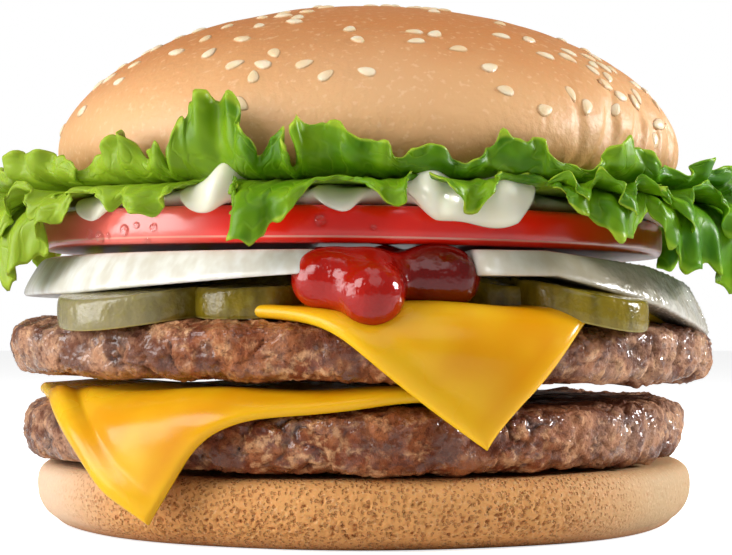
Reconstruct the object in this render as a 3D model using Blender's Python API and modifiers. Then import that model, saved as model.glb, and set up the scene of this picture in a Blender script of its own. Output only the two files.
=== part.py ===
"""Double cheeseburger, stacked from the bottom: bun heel, beef patty, cheese slice, second patty, second
cheese slice, pickle chips, ketchup, two onion slices, tomato slice, mayonnaise, lettuce and bun crown.

Frame: metres, +Z up. The origin is the middle of the heel's flat base, and the front faces -Y.
Headings are measured from the front, turning towards +X.
"""

import math
import random
from dataclasses import dataclass

import bmesh
import bpy
from mathutils import Vector

GAP = 0.0003  # between layers that rest on each other
RIM_GAP = 0.0016  # between a rim and what hangs over it
ROUND_SEGMENTS = 40  # around each bun, patty and tomato slice


@dataclass
class Slab:
    """A round layer of food: its place in the stack, its rim and how far its outline strays from round."""

    x: float
    radius: float
    bottom: float
    top: float
    rim: float
    squareness: float
    stray: float = 0.0
    seed: int = 0

    def reach(self, angle):
        return self.radius + self.stray * waves(angle, self.seed)


HEEL = Slab(0.0, 0.0582, 0.0, 0.0117, 0.0075, 2.3, 0.0006, 1)
LOWER_PATTY = Slab(-0.0022, 0.0594, 0.0120, 0.0236, 0.009, 2.3, 0.0009, 2)
UPPER_PATTY = Slab(-0.0013, 0.0621, 0.0260, 0.0368, 0.009, 2.3, 0.0009, 3)
TOMATO = Slab(-0.0027, 0.0551, 0.0474, 0.0532, 0.002, 2.2, 0.0005, 4)
TOMATO_TILT = math.radians(0.6)  # down towards +X
UPPER_TILT = math.radians(0.7)  # the second patty rests on cheese only at -X

CHEESE_THICKNESS = 0.0014
CHEESE_SIDE = 0.076
CHEESE_CELLS = 18
CHEESE_BEND = 0.0070  # radius where a slice turns down over a patty's rim
CHEESES = {  # slice: patty, its corner's heading, place across and run, turns of the two hems, tilt
    "lower_cheese": (LOWER_PATTY, -31, 0.0, 0.0790, (48, 47), 0.0),
    "upper_cheese": (UPPER_PATTY, 0, 0.0193, 0.0805, (64, 36), UPPER_TILT),
}

BED_LIFT = 0.0024  # from the second patty's top to the pickles: the cheese and its gaps
PICKLE_THICKNESS = 0.0035
PICKLE_RIM = 0.0012
PICKLE_SEGMENTS = 20
PICKLES = {  # chip: centre x, centre y and radius
    "pickle_front_left": (-0.0355, -0.0360, 0.0136),
    "pickle_front_middle": (-0.0125, -0.0360, 0.0088),
    "pickle_right_inner": (0.0235, -0.0260, 0.0090),
    "pickle_right_outer": (0.0380, -0.0395, 0.0099),
    "pickle_back_left": (-0.0260, 0.0320, 0.0130),
    "pickle_back_right": (0.0230, 0.0350, 0.0125),
}

ONIONS = {  # half moon: the side of its chord that is kept, the chord's front and back end, whether it leans
    "onion_left": (1, (-0.0130, -0.060), (-0.0040, 0.060), False),
    "onion_right": (-1, (0.0190, -0.060), (0.0065, 0.060), True),
}
ONION_TOP = 0.0469
ONION_BASE_RADIUS = 0.0615
ONION_TOP_RADIUS = 0.0578
ONION_EDGE = 0.0008  # rounding where the wall meets the flat faces
ONION_RINGS = (0.0, 0.030, 0.042, 0.050)  # radii that let the flat faces sag
SAG_START = 0.050  # radius past which pickles and onions sag over the patty's rim
SAG_RATE = 12.0  # metres of sag per square metre
DROOP_START = 0.048  # x past which the onion on the right hangs free of the pickles
DROOP_SLOPE = 0.30
LEAN_SLOPE = 0.012  # of the right onion's top, which follows the tomato down
ONION_TOP_SAG = 0.3  # share of the underside's sag that the top follows
ONION_TOP_DROOP = 0.7  # share of the underside's droop that the top follows

KETCHUP_LOBES = (  # place across and along the run, half width, half length and height, front and back
    (-0.0012, 0.0570, 0.0091, 0.0078, 0.0066),
    (0.0100, 0.0465, 0.0080, 0.0085, 0.0072),
)
KETCHUP_WAIST = 0.25  # height of a lobe's widest ring, as a share of its height

MAYO_THICKNESS = 0.0022
MAYO_RADIUS = 0.049
MAYO_BEND = 0.002
MAYO_LOBES = (  # heading in degrees, half width in degrees, extra reach
    (-56, 13, 0.0075),
    (-25, 10, 0.0078),
    (-2, 10, 0.0070),
    (24, 17, 0.0080),
    (75, 14, 0.0070),
    (128, 15, 0.0075),
    (176, 18, 0.0075),
    (228, 16, 0.0075),
)

LETTUCE_UNDERSIDE = 0.0568
LETTUCE_THICKNESS = 0.0007
LETTUCE_INNER_RADIUS = 0.040
LETTUCE_SHOULDER_RADIUS = 0.0590
LETTUCE_EDGE_RADIUS = 0.0635
LETTUCE_RUFFLE = 0.0060  # rise and fall of the frilled edge
LETTUCE_LIFT = 0.0015
LETTUCE_SIDE_DROOP = 0.0070  # of the edges at the burger's two sides
LETTUCE_WANDER = 0.0012  # of the edge, in and out
LETTUCE_SPREAD = 0.0010  # further reach of a leaf's middle
LETTUCE_ROWS = 4
LETTUCE_COLUMNS = 50
LEAVES = {  # leaf: first heading and last heading in degrees, number of ruffles
    "lettuce_front": (-62, 34, 6),
    "lettuce_right": (36, 158, 7),
    "lettuce_left": (160, 296, 8),
}

CROWN = Slab(0.0004, 0.0560, 0.0584, 0.0920, 0.0, 1.88, 0.0004, 9)
CROWN_CUT_RADIUS = 0.0515
CROWN_WIDEST = 0.0655  # height of the widest ring


def waves(angle, seed):
    """A smooth closed curve between about -1 and 1, with phases fixed by the seed."""
    phases = random.Random(seed)
    return sum(math.sin(n * angle + phases.uniform(0, math.tau)) for n in (2, 3, 5, 8)) / 3


def signed_power(value, exponent):
    return math.copysign(abs(value) ** exponent, value)


def over_rim(run, edge, bend):
    """Follows a run over a flat top and down past its edge: how far out, how far down, and the lean."""
    past = run - (edge - bend)
    if past <= 0:
        return run, 0.0, 0.0
    lean = min(past / bend, math.pi / 2)
    out = edge - bend + bend * math.sin(lean)
    drop = bend * (1 - math.cos(lean)) + max(0.0, past - bend * math.pi / 2)
    return out, drop, lean


def lay(slab, heading, across, run, lift, bend=CHEESE_BEND):
    """A point lifted off a slab's top, on a straight run over the top and down past the rim."""
    outwards = Vector((math.sin(heading), -math.cos(heading), 0))
    sideways = Vector((math.cos(heading), math.sin(heading), 0))
    facing = outwards * math.sqrt(max(slab.radius**2 - across**2, 0)) + sideways * across
    reach = slab.reach(math.atan2(facing.y, facing.x))
    edge = math.sqrt(max(reach**2 - across**2, (reach / 2) ** 2)) + RIM_GAP
    out, drop, lean = over_rim(run, edge, bend)
    point = sideways * across + outwards * (out + lift * math.sin(lean))
    point.z = lift * math.cos(lean) - drop
    return point


def rim_height(slab, x, y):
    """Height of a slab's top surface at x, y, rounding down at the rim."""
    local_x = x - slab.x
    inset = slab.reach(math.atan2(y, local_x)) - math.hypot(local_x, y)
    if inset >= slab.rim:
        return slab.top
    share = 1 - max(inset, 0.0) / slab.rim
    half = (slab.top - slab.bottom) / 2
    return slab.bottom + half + half * (1 - share**slab.squareness) ** (1 / slab.squareness)


def clear_scene():
    for existing in list(bpy.data.objects):
        bpy.data.objects.remove(existing)


def food_material(name, colour, roughness):
    material = bpy.data.materials.new(name)
    material.use_nodes = True
    shader = material.node_tree.nodes["Principled BSDF"]
    shader.inputs["Base Color"].default_value = (*colour, 1.0)
    shader.inputs["Roughness"].default_value = roughness
    shader.inputs["Metallic"].default_value = 0.0
    return material


def make_object(name, bm, material, location, burger):
    """Turns a bmesh into a smooth-shaded object in the burger's collection, under its empty."""
    mesh = bpy.data.meshes.new(name)
    bm.to_mesh(mesh)
    bm.free()
    mesh.shade_smooth()
    mesh.set_sharp_from_angle(angle=math.radians(50))
    mesh.materials.append(material)
    piece = bpy.data.objects.new(name, mesh)
    piece.location = location
    piece.parent = burger
    burger.users_collection[0].objects.link(piece)
    return piece


def face_upwards(bm):
    """Points an open sheet's faces up, so that its thickness is added on top."""
    bm.normal_update()
    if sum(face.normal.z for face in bm.faces) < 0:
        bmesh.ops.reverse_faces(bm, faces=bm.faces)


def add_thickness(piece, thickness):
    solidify = piece.modifiers.new("Thickness", "SOLIDIFY")
    solidify.thickness = thickness
    solidify.offset = 1.0
    solidify.use_even_offset = False


def lathe(profile, segments):
    """Turns a half section, given as radius and height from the bottom centre to the top centre."""
    bm = bmesh.new()
    ring = [bm.verts.new((radius, 0, height)) for radius, height in profile]
    edges = [bm.edges.new(pair) for pair in zip(ring, ring[1:])]
    bmesh.ops.spin(
        bm, geom=ring + edges, cent=(0, 0, 0), axis=(0, 0, 1), angle=math.tau, steps=segments, use_merge=True
    )
    bmesh.ops.remove_doubles(bm, verts=bm.verts, dist=1e-6)
    bmesh.ops.recalc_face_normals(bm, faces=bm.faces)
    return bm


def slab_profile(slab, rim_steps):
    """Flat faces with a rounded rim between them."""
    half = (slab.top - slab.bottom) / 2
    flat = slab.radius - slab.rim
    profile = [(0.0, 0.0), (flat * 0.6, 0.0)]
    for step in range(rim_steps + 1):
        angle = math.pi * (step / rim_steps - 0.5)
        out = slab.rim * signed_power(math.cos(angle), 2 / slab.squareness)
        rise = half * signed_power(math.sin(angle), 2 / slab.squareness)
        profile.append((flat + out, half + rise))
    return profile + [(flat * 0.6, 2 * half), (0.0, 2 * half)]


def make_uneven(bm, slab):
    """Lets the outline stray from round, by more towards the rim."""
    for vert in bm.verts:
        radius = math.hypot(vert.co.x, vert.co.y)
        if radius > 0:
            stray = slab.reach(math.atan2(vert.co.y, vert.co.x)) - slab.radius
            vert.co.xy *= 1 + stray * radius / slab.radius**2


def make_slab(name, slab, rim_steps, material, burger, tilt=0.0):
    bm = lathe(slab_profile(slab, rim_steps), ROUND_SEGMENTS)
    make_uneven(bm, slab)
    piece = make_object(name, bm, material, (slab.x, 0, slab.bottom), burger)
    piece.rotation_euler.y = tilt
    return piece


def make_crown(material, burger):
    """Domed top bun: a flat cut face, a rounded lower rim and a dome."""
    cut_height = CROWN_WIDEST - CROWN.bottom
    dome_height = CROWN.top - CROWN_WIDEST
    overhang = CROWN.radius - CROWN_CUT_RADIUS
    profile = [(0.0, 0.0), (CROWN_CUT_RADIUS * 0.6, 0.0), (CROWN_CUT_RADIUS, 0.0)]
    for step in range(1, 3):
        angle = math.pi / 2 * step / 3
        profile.append((CROWN_CUT_RADIUS + overhang * math.sin(angle), cut_height * (1 - math.cos(angle))))
    for step in range(8):
        angle = math.pi / 2 * step / 8
        out = CROWN.radius * math.cos(angle) ** (2 / CROWN.squareness)
        profile.append((out, cut_height + dome_height * math.sin(angle) ** (2 / CROWN.squareness)))
    profile.append((0.0, cut_height + dome_height))
    bm = lathe(profile, ROUND_SEGMENTS)
    make_uneven(bm, CROWN)
    return make_object("top_bun", bm, material, (CROWN.x, 0, CROWN.bottom), burger)


def make_cheese(name, patty, heading, across, run, edge_turns, tilt, material, burger):
    """A soft square slice whose corner hangs over the patty's rim, at the given place across and run. The two
    edges that meet in the corner leave it at their own turns, because the slice has stretched."""
    right_turn, left_turn = (math.radians(turn) for turn in edge_turns)
    bm = bmesh.new()
    bmesh.ops.create_grid(bm, x_segments=CHEESE_CELLS, y_segments=CHEESE_CELLS, size=CHEESE_SIDE / 2)
    for vert in bm.verts:
        right = vert.co.x + CHEESE_SIDE / 2
        left = vert.co.y + CHEESE_SIDE / 2
        here = across + right * math.cos(right_turn) - left * math.cos(left_turn)
        back = right * math.sin(right_turn) + left * math.sin(left_turn)
        vert.co = lay(patty, math.radians(heading), here, run - back, GAP)
    face_upwards(bm)
    piece = make_object(name, bm, material, (patty.x, 0, patty.top), burger)
    piece.rotation_euler.y = tilt
    add_thickness(piece, CHEESE_THICKNESS)


def sag(x, y):
    """How far a soft slice sinks at x, y where it passes over the patty's rim."""
    return SAG_RATE * max(0.0, math.hypot(x, y) - SAG_START) ** 2


def bed(x, y):
    """Height of the surface that the pickle chips lie on, which follows the tilted patty and its rim."""
    return UPPER_PATTY.top + BED_LIFT - x * math.tan(UPPER_TILT) - sag(x, y)


def make_pickle(name, x, y, radius, material, burger):
    """A cucumber chip that lies on the cheese and sags outwards with the patty's rim."""
    chip = Slab(0.0, radius, 0.0, PICKLE_THICKNESS, PICKLE_RIM, 2.2)
    bm = lathe(slab_profile(chip, 4), PICKLE_SEGMENTS)
    for vert in bm.verts:
        vert.co.z += bed(x + vert.co.x, y + vert.co.y) - bed(x, y)
    return make_object(name, bm, material, (x, y, bed(x, y)), burger)


def onion_height(x, y, share, leaning):
    """Height in the onion slice at x, y, from its underside at share 0 to its top at share 1."""
    underside = bed(x, y) + PICKLE_THICKNESS + 1.5 * GAP
    top = ONION_TOP - ONION_TOP_SAG * sag(x, y)
    if leaning:
        droop = DROOP_SLOPE * max(0.0, x - DROOP_START)
        patty = rim_height(UPPER_PATTY, x, y) - x * math.tan(UPPER_TILT)
        underside = max(underside - droop, patty + 2 * GAP)
        top -= ONION_TOP_DROOP * droop + LEAN_SLOPE * max(0.0, x)
    return underside + (top - underside) * share


def make_onion(name, keep_side, chord_start, chord_end, leaning, material, burger):
    """A half-moon slice of onion: a round slice cut along a chord, with a wall that flares downwards."""
    base, crest = ONION_BASE_RADIUS, ONION_TOP_RADIUS
    outer_ring = (ONION_RINGS[-1] + base) / 2
    profile = [(radius, 0.0) for radius in (*ONION_RINGS, outer_ring, base - ONION_EDGE)]
    profile += [(base, 0.12), (crest, 0.88)]
    profile += [(radius, 1.0) for radius in (crest - ONION_EDGE, *reversed(ONION_RINGS))]
    bm = lathe(profile, ROUND_SEGMENTS)
    along = Vector(chord_end) - Vector(chord_start)
    outwards = Vector((along.y, -along.x, 0)) * keep_side
    everything = bm.verts[:] + bm.edges[:] + bm.faces[:]
    bmesh.ops.bisect_plane(
        bm, geom=everything, dist=1e-6, plane_co=(*chord_start, 0), plane_no=outwards, clear_outer=True
    )
    bmesh.ops.holes_fill(bm, edges=[edge for edge in bm.edges if edge.is_boundary])
    bmesh.ops.triangulate(bm, faces=bm.faces)
    bottom = bed(0, 0) + PICKLE_THICKNESS + GAP
    for vert in bm.verts:
        vert.co.z = onion_height(vert.co.x, vert.co.y, vert.co.z, leaning) - bottom
    bmesh.ops.recalc_face_normals(bm, faces=bm.faces)
    return make_object(name, bm, material, (0, 0, bottom), burger)


def ketchup_lobe(across, run, half_width, half_length, height):
    """A rounded bead lying on the upper cheese slice and bending over the patty's rim."""
    bm = bmesh.new()
    bmesh.ops.create_uvsphere(bm, u_segments=18, v_segments=10, radius=1.0)
    underside = CHEESE_THICKNESS + 2.5 * GAP
    for vert in bm.verts:
        above = vert.co.z * (1 - KETCHUP_WAIST if vert.co.z > 0 else KETCHUP_WAIST)
        share = KETCHUP_WAIST + above
        here = across + half_width * vert.co.x
        vert.co = lay(UPPER_PATTY, 0.0, here, run + half_length * vert.co.y, underside + height * share)
    bmesh.ops.recalc_face_normals(bm, faces=bm.faces)
    mesh = bpy.data.meshes.new("ketchup_lobe")
    bm.to_mesh(mesh)
    bm.free()
    return mesh


def make_ketchup(material, burger, cutters):
    """Two beads run together: one at the front over the rim, one behind it under the tomato."""
    front, back = KETCHUP_LOBES
    bm = bmesh.new()
    bm.from_mesh(ketchup_lobe(*front))
    piece = make_object("ketchup", bm, material, (UPPER_PATTY.x, 0, UPPER_PATTY.top), burger)
    piece.rotation_euler.y = UPPER_TILT
    back_lobe = bpy.data.objects.new("ketchup_back_lobe", ketchup_lobe(*back))
    back_lobe.location = piece.location
    back_lobe.rotation_euler = piece.rotation_euler
    back_lobe.parent = burger
    back_lobe.hide_render = True
    back_lobe.display_type = "WIRE"
    cutters.objects.link(back_lobe)
    union = piece.modifiers.new("Run together", "BOOLEAN")
    union.operation = "UNION"
    union.object = back_lobe
    return piece


def mayo_reach(heading):
    """How far out the mayonnaise runs at a heading: an even spread with lobes that reach the tomato's rim."""
    reach = MAYO_RADIUS
    for centre, half_width, extra in MAYO_LOBES:
        turn = (math.degrees(heading) - centre + 180) % 360 - 180
        reach += extra * math.exp(-((turn / half_width) ** 2))
    return reach


def make_mayonnaise(material, burger):
    """A spread blob on the tomato slice, its lobes hanging over the slice's rim."""
    bm = bmesh.new()
    columns, rings = 52, 6
    bmesh.ops.create_circle(bm, cap_ends=True, cap_tris=True, segments=columns, radius=1.0)
    spokes = [edge for edge in bm.edges if min(v.co.length for v in edge.verts) < 0.5]
    bmesh.ops.subdivide_edges(bm, edges=spokes, cuts=rings - 1, use_grid_fill=False)
    for vert in bm.verts:
        crowded = 1 - (1 - vert.co.length) ** 2
        heading = math.atan2(vert.co.x, -vert.co.y)
        vert.co = lay(TOMATO, heading, 0.0, mayo_reach(heading) * crowded, 2 * GAP, MAYO_BEND)
    face_upwards(bm)
    piece = make_object("mayonnaise", bm, material, (TOMATO.x, 0, TOMATO.top), burger)
    piece.rotation_euler.y = TOMATO_TILT
    add_thickness(piece, MAYO_THICKNESS)
    return piece


def leaf_point(heading, share, ruffles, first, last, seed):
    """A point of a lettuce leaf: level under the crown, then a frill that rises and falls along its edge."""
    along = (heading - first) / (last - first)
    out = min(1.0, share * (LETTUCE_ROWS - 1))
    frill = max(0.0, share * (LETTUCE_ROWS - 1) - 1) / (LETTUCE_ROWS - 2)
    ends = max(0.0, math.sin(math.pi * along)) ** 0.25
    turn = math.tau * ruffles * along + seed + 0.8 * waves(math.tau * along, seed)
    side_droop = LETTUCE_SIDE_DROOP * abs(math.sin(heading)) ** 3
    radius = LETTUCE_INNER_RADIUS + (LETTUCE_SHOULDER_RADIUS - LETTUCE_INNER_RADIUS) * out
    reach = LETTUCE_EDGE_RADIUS - LETTUCE_SHOULDER_RADIUS
    radius += frill * (reach + LETTUCE_WANDER * math.cos(turn) + LETTUCE_SPREAD * ends)
    height = frill * (LETTUCE_RUFFLE * math.sin(turn) * ends + LETTUCE_LIFT - side_droop)
    return Vector((radius * math.sin(heading), -radius * math.cos(heading), height))


def make_leaf(name, first, last, ruffles, seed, material, burger):
    bm = bmesh.new()
    bmesh.ops.create_grid(bm, x_segments=LETTUCE_COLUMNS, y_segments=LETTUCE_ROWS - 1, size=0.5)
    for vert in bm.verts:
        heading = first + (last - first) * (vert.co.x + 0.5)
        vert.co = leaf_point(heading, 0.5 - vert.co.y, ruffles, first, last, seed)
    face_upwards(bm)
    piece = make_object(name, bm, material, (0, 0, LETTUCE_UNDERSIDE), burger)
    add_thickness(piece, LETTUCE_THICKNESS)
    return piece


def build():
    clear_scene()
    parts = bpy.data.collections.new("double_cheeseburger")
    cutters = bpy.data.collections.new("cutters")
    bpy.context.scene.collection.children.link(parts)
    bpy.context.scene.collection.children.link(cutters)
    burger = bpy.data.objects.new("burger", None)
    parts.objects.link(burger)

    crust = food_material("bun crust", (0.58, 0.27, 0.10), 0.55)
    beef = food_material("grilled beef", (0.16, 0.06, 0.03), 0.45)
    cheese = food_material("processed cheese", (0.87, 0.44, 0.03), 0.35)
    pickle = food_material("pickled cucumber", (0.16, 0.15, 0.02), 0.25)
    onion = food_material("raw onion", (0.72, 0.72, 0.66), 0.25)
    tomato = food_material("ripe tomato", (0.62, 0.02, 0.01), 0.2)
    leaf = food_material("lettuce leaf", (0.15, 0.38, 0.02), 0.4)

    make_slab("bottom_bun", HEEL, 8, crust, burger)
    make_slab("lower_patty", LOWER_PATTY, 8, beef, burger)
    make_slab("upper_patty", UPPER_PATTY, 8, beef, burger, UPPER_TILT)
    for name, laid in CHEESES.items():
        make_cheese(name, *laid, cheese, burger)
    for name, (x, y, radius) in PICKLES.items():
        make_pickle(name, x, y, radius, pickle, burger)
    make_ketchup(food_material("ketchup", (0.32, 0.01, 0.01), 0.12), burger, cutters)
    for name, cut in ONIONS.items():
        make_onion(name, *cut, onion, burger)
    make_slab("tomato", TOMATO, 5, tomato, burger, TOMATO_TILT)
    make_mayonnaise(food_material("mayonnaise", (0.85, 0.79, 0.66), 0.2), burger)
    for seed, (name, (first, last, ruffles)) in enumerate(LEAVES.items()):
        make_leaf(name, math.radians(first), math.radians(last), ruffles, seed, leaf, burger)
    make_crown(crust, burger)


build()
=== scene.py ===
"""Double cheeseburger, as it is put together from the bottom: bun heel, beef patty, cheese slice, second patty,
second cheese slice, pickle chips, ketchup, onion, tomato, mayonnaise, lettuce and seeded bun crown.

Metres, +Z up, front towards -Y. Headings are measured from the front and turn towards +X.
"""

import math
from dataclasses import dataclass

import bpy
import numpy as np
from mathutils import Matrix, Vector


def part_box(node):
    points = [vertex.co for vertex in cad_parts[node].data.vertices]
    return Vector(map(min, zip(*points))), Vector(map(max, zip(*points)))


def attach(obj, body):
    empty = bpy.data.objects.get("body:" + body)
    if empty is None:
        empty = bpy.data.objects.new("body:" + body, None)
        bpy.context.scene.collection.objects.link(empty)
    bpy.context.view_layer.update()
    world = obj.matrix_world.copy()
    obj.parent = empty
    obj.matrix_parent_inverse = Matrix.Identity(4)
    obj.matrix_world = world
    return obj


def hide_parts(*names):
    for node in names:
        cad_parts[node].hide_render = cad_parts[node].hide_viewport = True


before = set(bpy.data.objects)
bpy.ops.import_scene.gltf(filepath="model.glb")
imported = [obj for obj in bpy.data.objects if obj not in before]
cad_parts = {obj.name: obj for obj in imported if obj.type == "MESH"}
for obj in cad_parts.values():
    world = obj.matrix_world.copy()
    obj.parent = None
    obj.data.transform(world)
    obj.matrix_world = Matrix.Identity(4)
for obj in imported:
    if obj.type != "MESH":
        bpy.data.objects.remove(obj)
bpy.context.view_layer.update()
MM = 0.001

# ---------------------------------------------------------------------------------------------------------------
# Table and studio. A wide pale table under a white room, a large soft lamp at the front left, a weak one at the
# right and a hard one behind the right side, which wets the ends of the patties with light.
# ---------------------------------------------------------------------------------------------------------------
CAMERA_PLACE = (0.0, -0.370, 0.034)
CAMERA_TILT = math.radians(1.46)
LENS = 101.2
TABLE_SIZE = 6.0
TABLE_GLOW = 0.72  # keeps the table as pale as the room behind it
ROOM_LIGHT = 0.20
LAMPS = {  # lamp: place, width and power
    "key": ((-0.66, -0.50, 0.58), 0.45, 3.6),
    "left": ((-0.87, -0.23, 0.16), 0.70, 7.4),
    "fill": ((0.15, -0.70, 0.75), 0.70, 1.6),
    "top": ((0.00, -0.10, 0.95), 0.60, 1.1),
    "rim": ((0.62, 0.06, 0.26), 0.16, 4.0),
}


def feed(tree, socket, value):
    """Links a socket to another node's output, or sets its own value."""
    if isinstance(value, bpy.types.NodeSocket):
        tree.links.new(value, socket)
    else:
        socket.default_value = value


def node(tree, kind, inputs=None, **settings):
    made = tree.nodes.new(kind)
    for name, value in settings.items():
        setattr(made, name, value)
    for name, value in (inputs or {}).items():
        feed(tree, made.inputs[name], value)
    return made


def maths(tree, operation, *values):
    made = node(tree, "ShaderNodeMath", operation=operation)
    for socket, value in zip(made.inputs, values):
        feed(tree, socket, value)
    return made.outputs[0]


def ramp(tree, value, start, end, low=0.0, high=1.0):
    """Eases from low to high as the value goes from start to end."""
    made = node(tree, "ShaderNodeMapRange", interpolation_type="SMOOTHSTEP")
    for socket, number in zip(made.inputs, (value, start, end, low, high)):
        feed(tree, socket, number)
    return made.outputs[0]


def cloudy(tree, place, size, detail=2.0, roughness=0.5):
    """Soft noise between 0 and 1 whose blobs are about the given size."""
    inputs = {"Vector": place, "Scale": 0.6 / size, "Detail": detail, "Roughness": roughness}
    return node(tree, "ShaderNodeTexNoise", inputs).outputs[0]


def blend(tree, share, first, second, mode="MIX"):
    """Mixes two colours, given as sockets or as red, green and blue."""
    made = node(tree, "ShaderNodeMix", data_type="RGBA", blend_type=mode)
    for index, value in ((0, share), (6, first), (7, second)):
        feed(tree, made.inputs[index], (*value, 1.0) if isinstance(value, tuple) else value)
    return made.outputs[2]


def new_material(name):
    """A material with its node tree, its shader and the place on the piece, which patterns follow."""
    material = bpy.data.materials.new(name)
    material.use_nodes = True
    tree = material.node_tree
    shader = tree.nodes["Principled BSDF"]
    place = node(tree, "ShaderNodeTexCoord").outputs["Object"]
    return material, tree, shader, place


def set_shader(shader, **values):
    """Sets the shader's own sockets: the words of a socket's name are joined by underscores."""
    for name, value in values.items():
        shader.inputs[name.replace("_", " ")].default_value = value


def roughen(tree, shader, height, distance, strength=1.0):
    inputs = {"Height": height, "Distance": distance, "Strength": strength}
    bump = node(tree, "ShaderNodeBump", inputs)
    tree.links.new(bump.outputs[0], shader.inputs["Normal"])


def build_mesh(name, points, faces, material, marks=None):
    """A smooth mesh object. Marks are numbers kept at each point, which the material can read by name."""
    mesh = bpy.data.meshes.new(name)
    mesh.from_pydata(np.asarray(points).tolist(), [], [list(face) for face in faces])
    mesh.shade_smooth()
    mesh.materials.append(material)
    for mark, values in (marks or {}).items():
        mesh.attributes.new(mark, "FLOAT", "POINT").data.foreach_set("value", np.asarray(values, np.float32))
    piece = bpy.data.objects.new(name, mesh)
    bpy.context.scene.collection.objects.link(piece)
    return piece


def quads(ids):
    """Faces between neighbouring rows and columns of point numbers."""
    corners = ids[:-1, :-1], ids[:-1, 1:], ids[1:, 1:], ids[1:, :-1]
    return np.stack(corners, axis=-1).reshape(-1, 4)


def table_material():
    material, tree, shader, place = new_material("pale table")
    tint = cloudy(tree, place, 0.2)
    colour = blend(tree, tint, (0.84, 0.84, 0.84), (0.87, 0.87, 0.87))
    tree.links.new(colour, shader.inputs["Base Color"])
    seen = node(tree, "ShaderNodeLightPath").outputs["Is Camera Ray"]
    tree.links.new(maths(tree, "MULTIPLY", seen, TABLE_GLOW), shader.inputs["Emission Strength"])
    set_shader(shader, Roughness=0.6, Emission_Color=(1.0, 1.0, 1.0, 1.0))
    return material


def make_stage():
    steps = np.linspace(-TABLE_SIZE / 2, TABLE_SIZE / 2, 9)
    x, y = np.meshgrid(steps, steps)
    points = np.stack([x, y, np.zeros_like(x)], axis=-1).reshape(-1, 3)
    table = build_mesh("table", points, quads(np.arange(81).reshape(9, 9)), table_material())

    world = bpy.data.worlds.new("white room")
    world.use_nodes = True
    tree = world.node_tree
    background = tree.nodes["Background"]
    seen = node(tree, "ShaderNodeLightPath").outputs["Is Camera Ray"]
    tree.links.new(ramp(tree, seen, 0.0, 1.0, ROOM_LIGHT, 1.0), background.inputs["Strength"])
    background.inputs["Color"].default_value = (1.0, 1.0, 1.0, 1.0)
    bpy.context.scene.world = world
    bpy.context.scene.view_settings.view_transform = "Standard"


def make_lamp(name, place, width, power):
    lamp = bpy.data.lights.new(name, "AREA")
    lamp.shape = "DISK"
    lamp.size = width
    lamp.energy = power
    holder = bpy.data.objects.new(name, lamp)
    holder.location = place
    towards = np.array([0.0, 0.0, 0.045]) - np.array(place)
    holder.rotation_euler = (
        math.pi / 2 + math.atan2(towards[2], math.hypot(towards[0], towards[1])),
        0.0,
        math.atan2(-towards[0], towards[1]),
    )
    bpy.context.scene.collection.objects.link(holder)


def make_camera():
    data = bpy.data.cameras.new("camera")
    data.lens = LENS
    data.sensor_width = 36.0
    data.clip_start = 0.01
    camera = bpy.data.objects.new("camera", data)
    camera.location = CAMERA_PLACE
    camera.rotation_euler = (math.pi / 2 + CAMERA_TILT, 0.0, 0.0)
    bpy.context.scene.collection.objects.link(camera)
    bpy.context.scene.camera = camera


make_stage()
make_camera()
for lamp_name, (lamp_place, lamp_width, lamp_power) in LAMPS.items():
    make_lamp(lamp_name, lamp_place, lamp_width, lamp_power)

# ---------------------------------------------------------------------------------------------------------------
# Bun heel. The bottom half of a soft wheat bun, cut level and pressed a little by what lies on it. Its side is a
# pale, open crumb with many small pores, and it browned only where it stood in its tin.
# ---------------------------------------------------------------------------------------------------------------
HEEL_CELL = 0.30 * MM
HEEL_RIMS = (7.5 * MM, 4.0 * MM)  # below and above
HEEL_SQUARENESS = 2.3
HEEL_WIDEST = 0.64  # share of its height
CAP_RINGS = (0.02, 0.25, 0.5, 0.75, 0.9)  # shares of the way out to where the rim starts
REST_GAP = 0.3 * MM


@dataclass
class Layer:
    """A round layer of the frame: its middle, its underside and top there, its slope along x and its outline."""

    x: float
    y: float
    bottom: float
    top: float
    slope: float
    waves: np.ndarray

    def radius(self, heading):
        turns = np.multiply.outer(np.asarray(heading, float), np.arange(len(self.waves)))
        return (np.exp(1j * turns) * self.waves).sum(axis=-1).real

    def lean(self, x):
        return self.slope * (x - self.x)


def read_layer(name, columns=40, kept_waves=10):
    """Measures a round CAD node, whose outline has a point in each of its columns."""
    low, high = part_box(name)
    spots = np.array([vertex.co[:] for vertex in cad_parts[name].data.vertices])
    x, y = spots[:, 0] - (low.x + high.x) / 2, spots[:, 1] - (low.y + high.y) / 2
    slope = np.polyfit(x, spots[:, 2], 1)[0]
    level = spots[:, 2] - slope * x
    sectors = np.round(np.arctan2(x, -y) * columns / math.tau).astype(int) % columns
    reach = np.array([np.hypot(x, y)[sectors == sector].max() for sector in range(columns)])
    waves = np.fft.rfft(reach)[:kept_waves] / columns
    waves[1:] *= 2
    return Layer((low.x + high.x) / 2, (low.y + high.y) / 2, level.min(), level.max(), slope, waves)


def even_steps(points, spacing):
    """Points at even distances along a fine line."""
    lengths = np.concatenate([[0], np.cumsum(np.linalg.norm(np.diff(points, axis=0), axis=1))])
    wanted = np.linspace(0, lengths[-1], max(2, int(lengths[-1] / spacing) + 1))
    return np.stack([np.interp(wanted, lengths, points[:, axis]) for axis in range(points.shape[1])], axis=-1)


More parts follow.
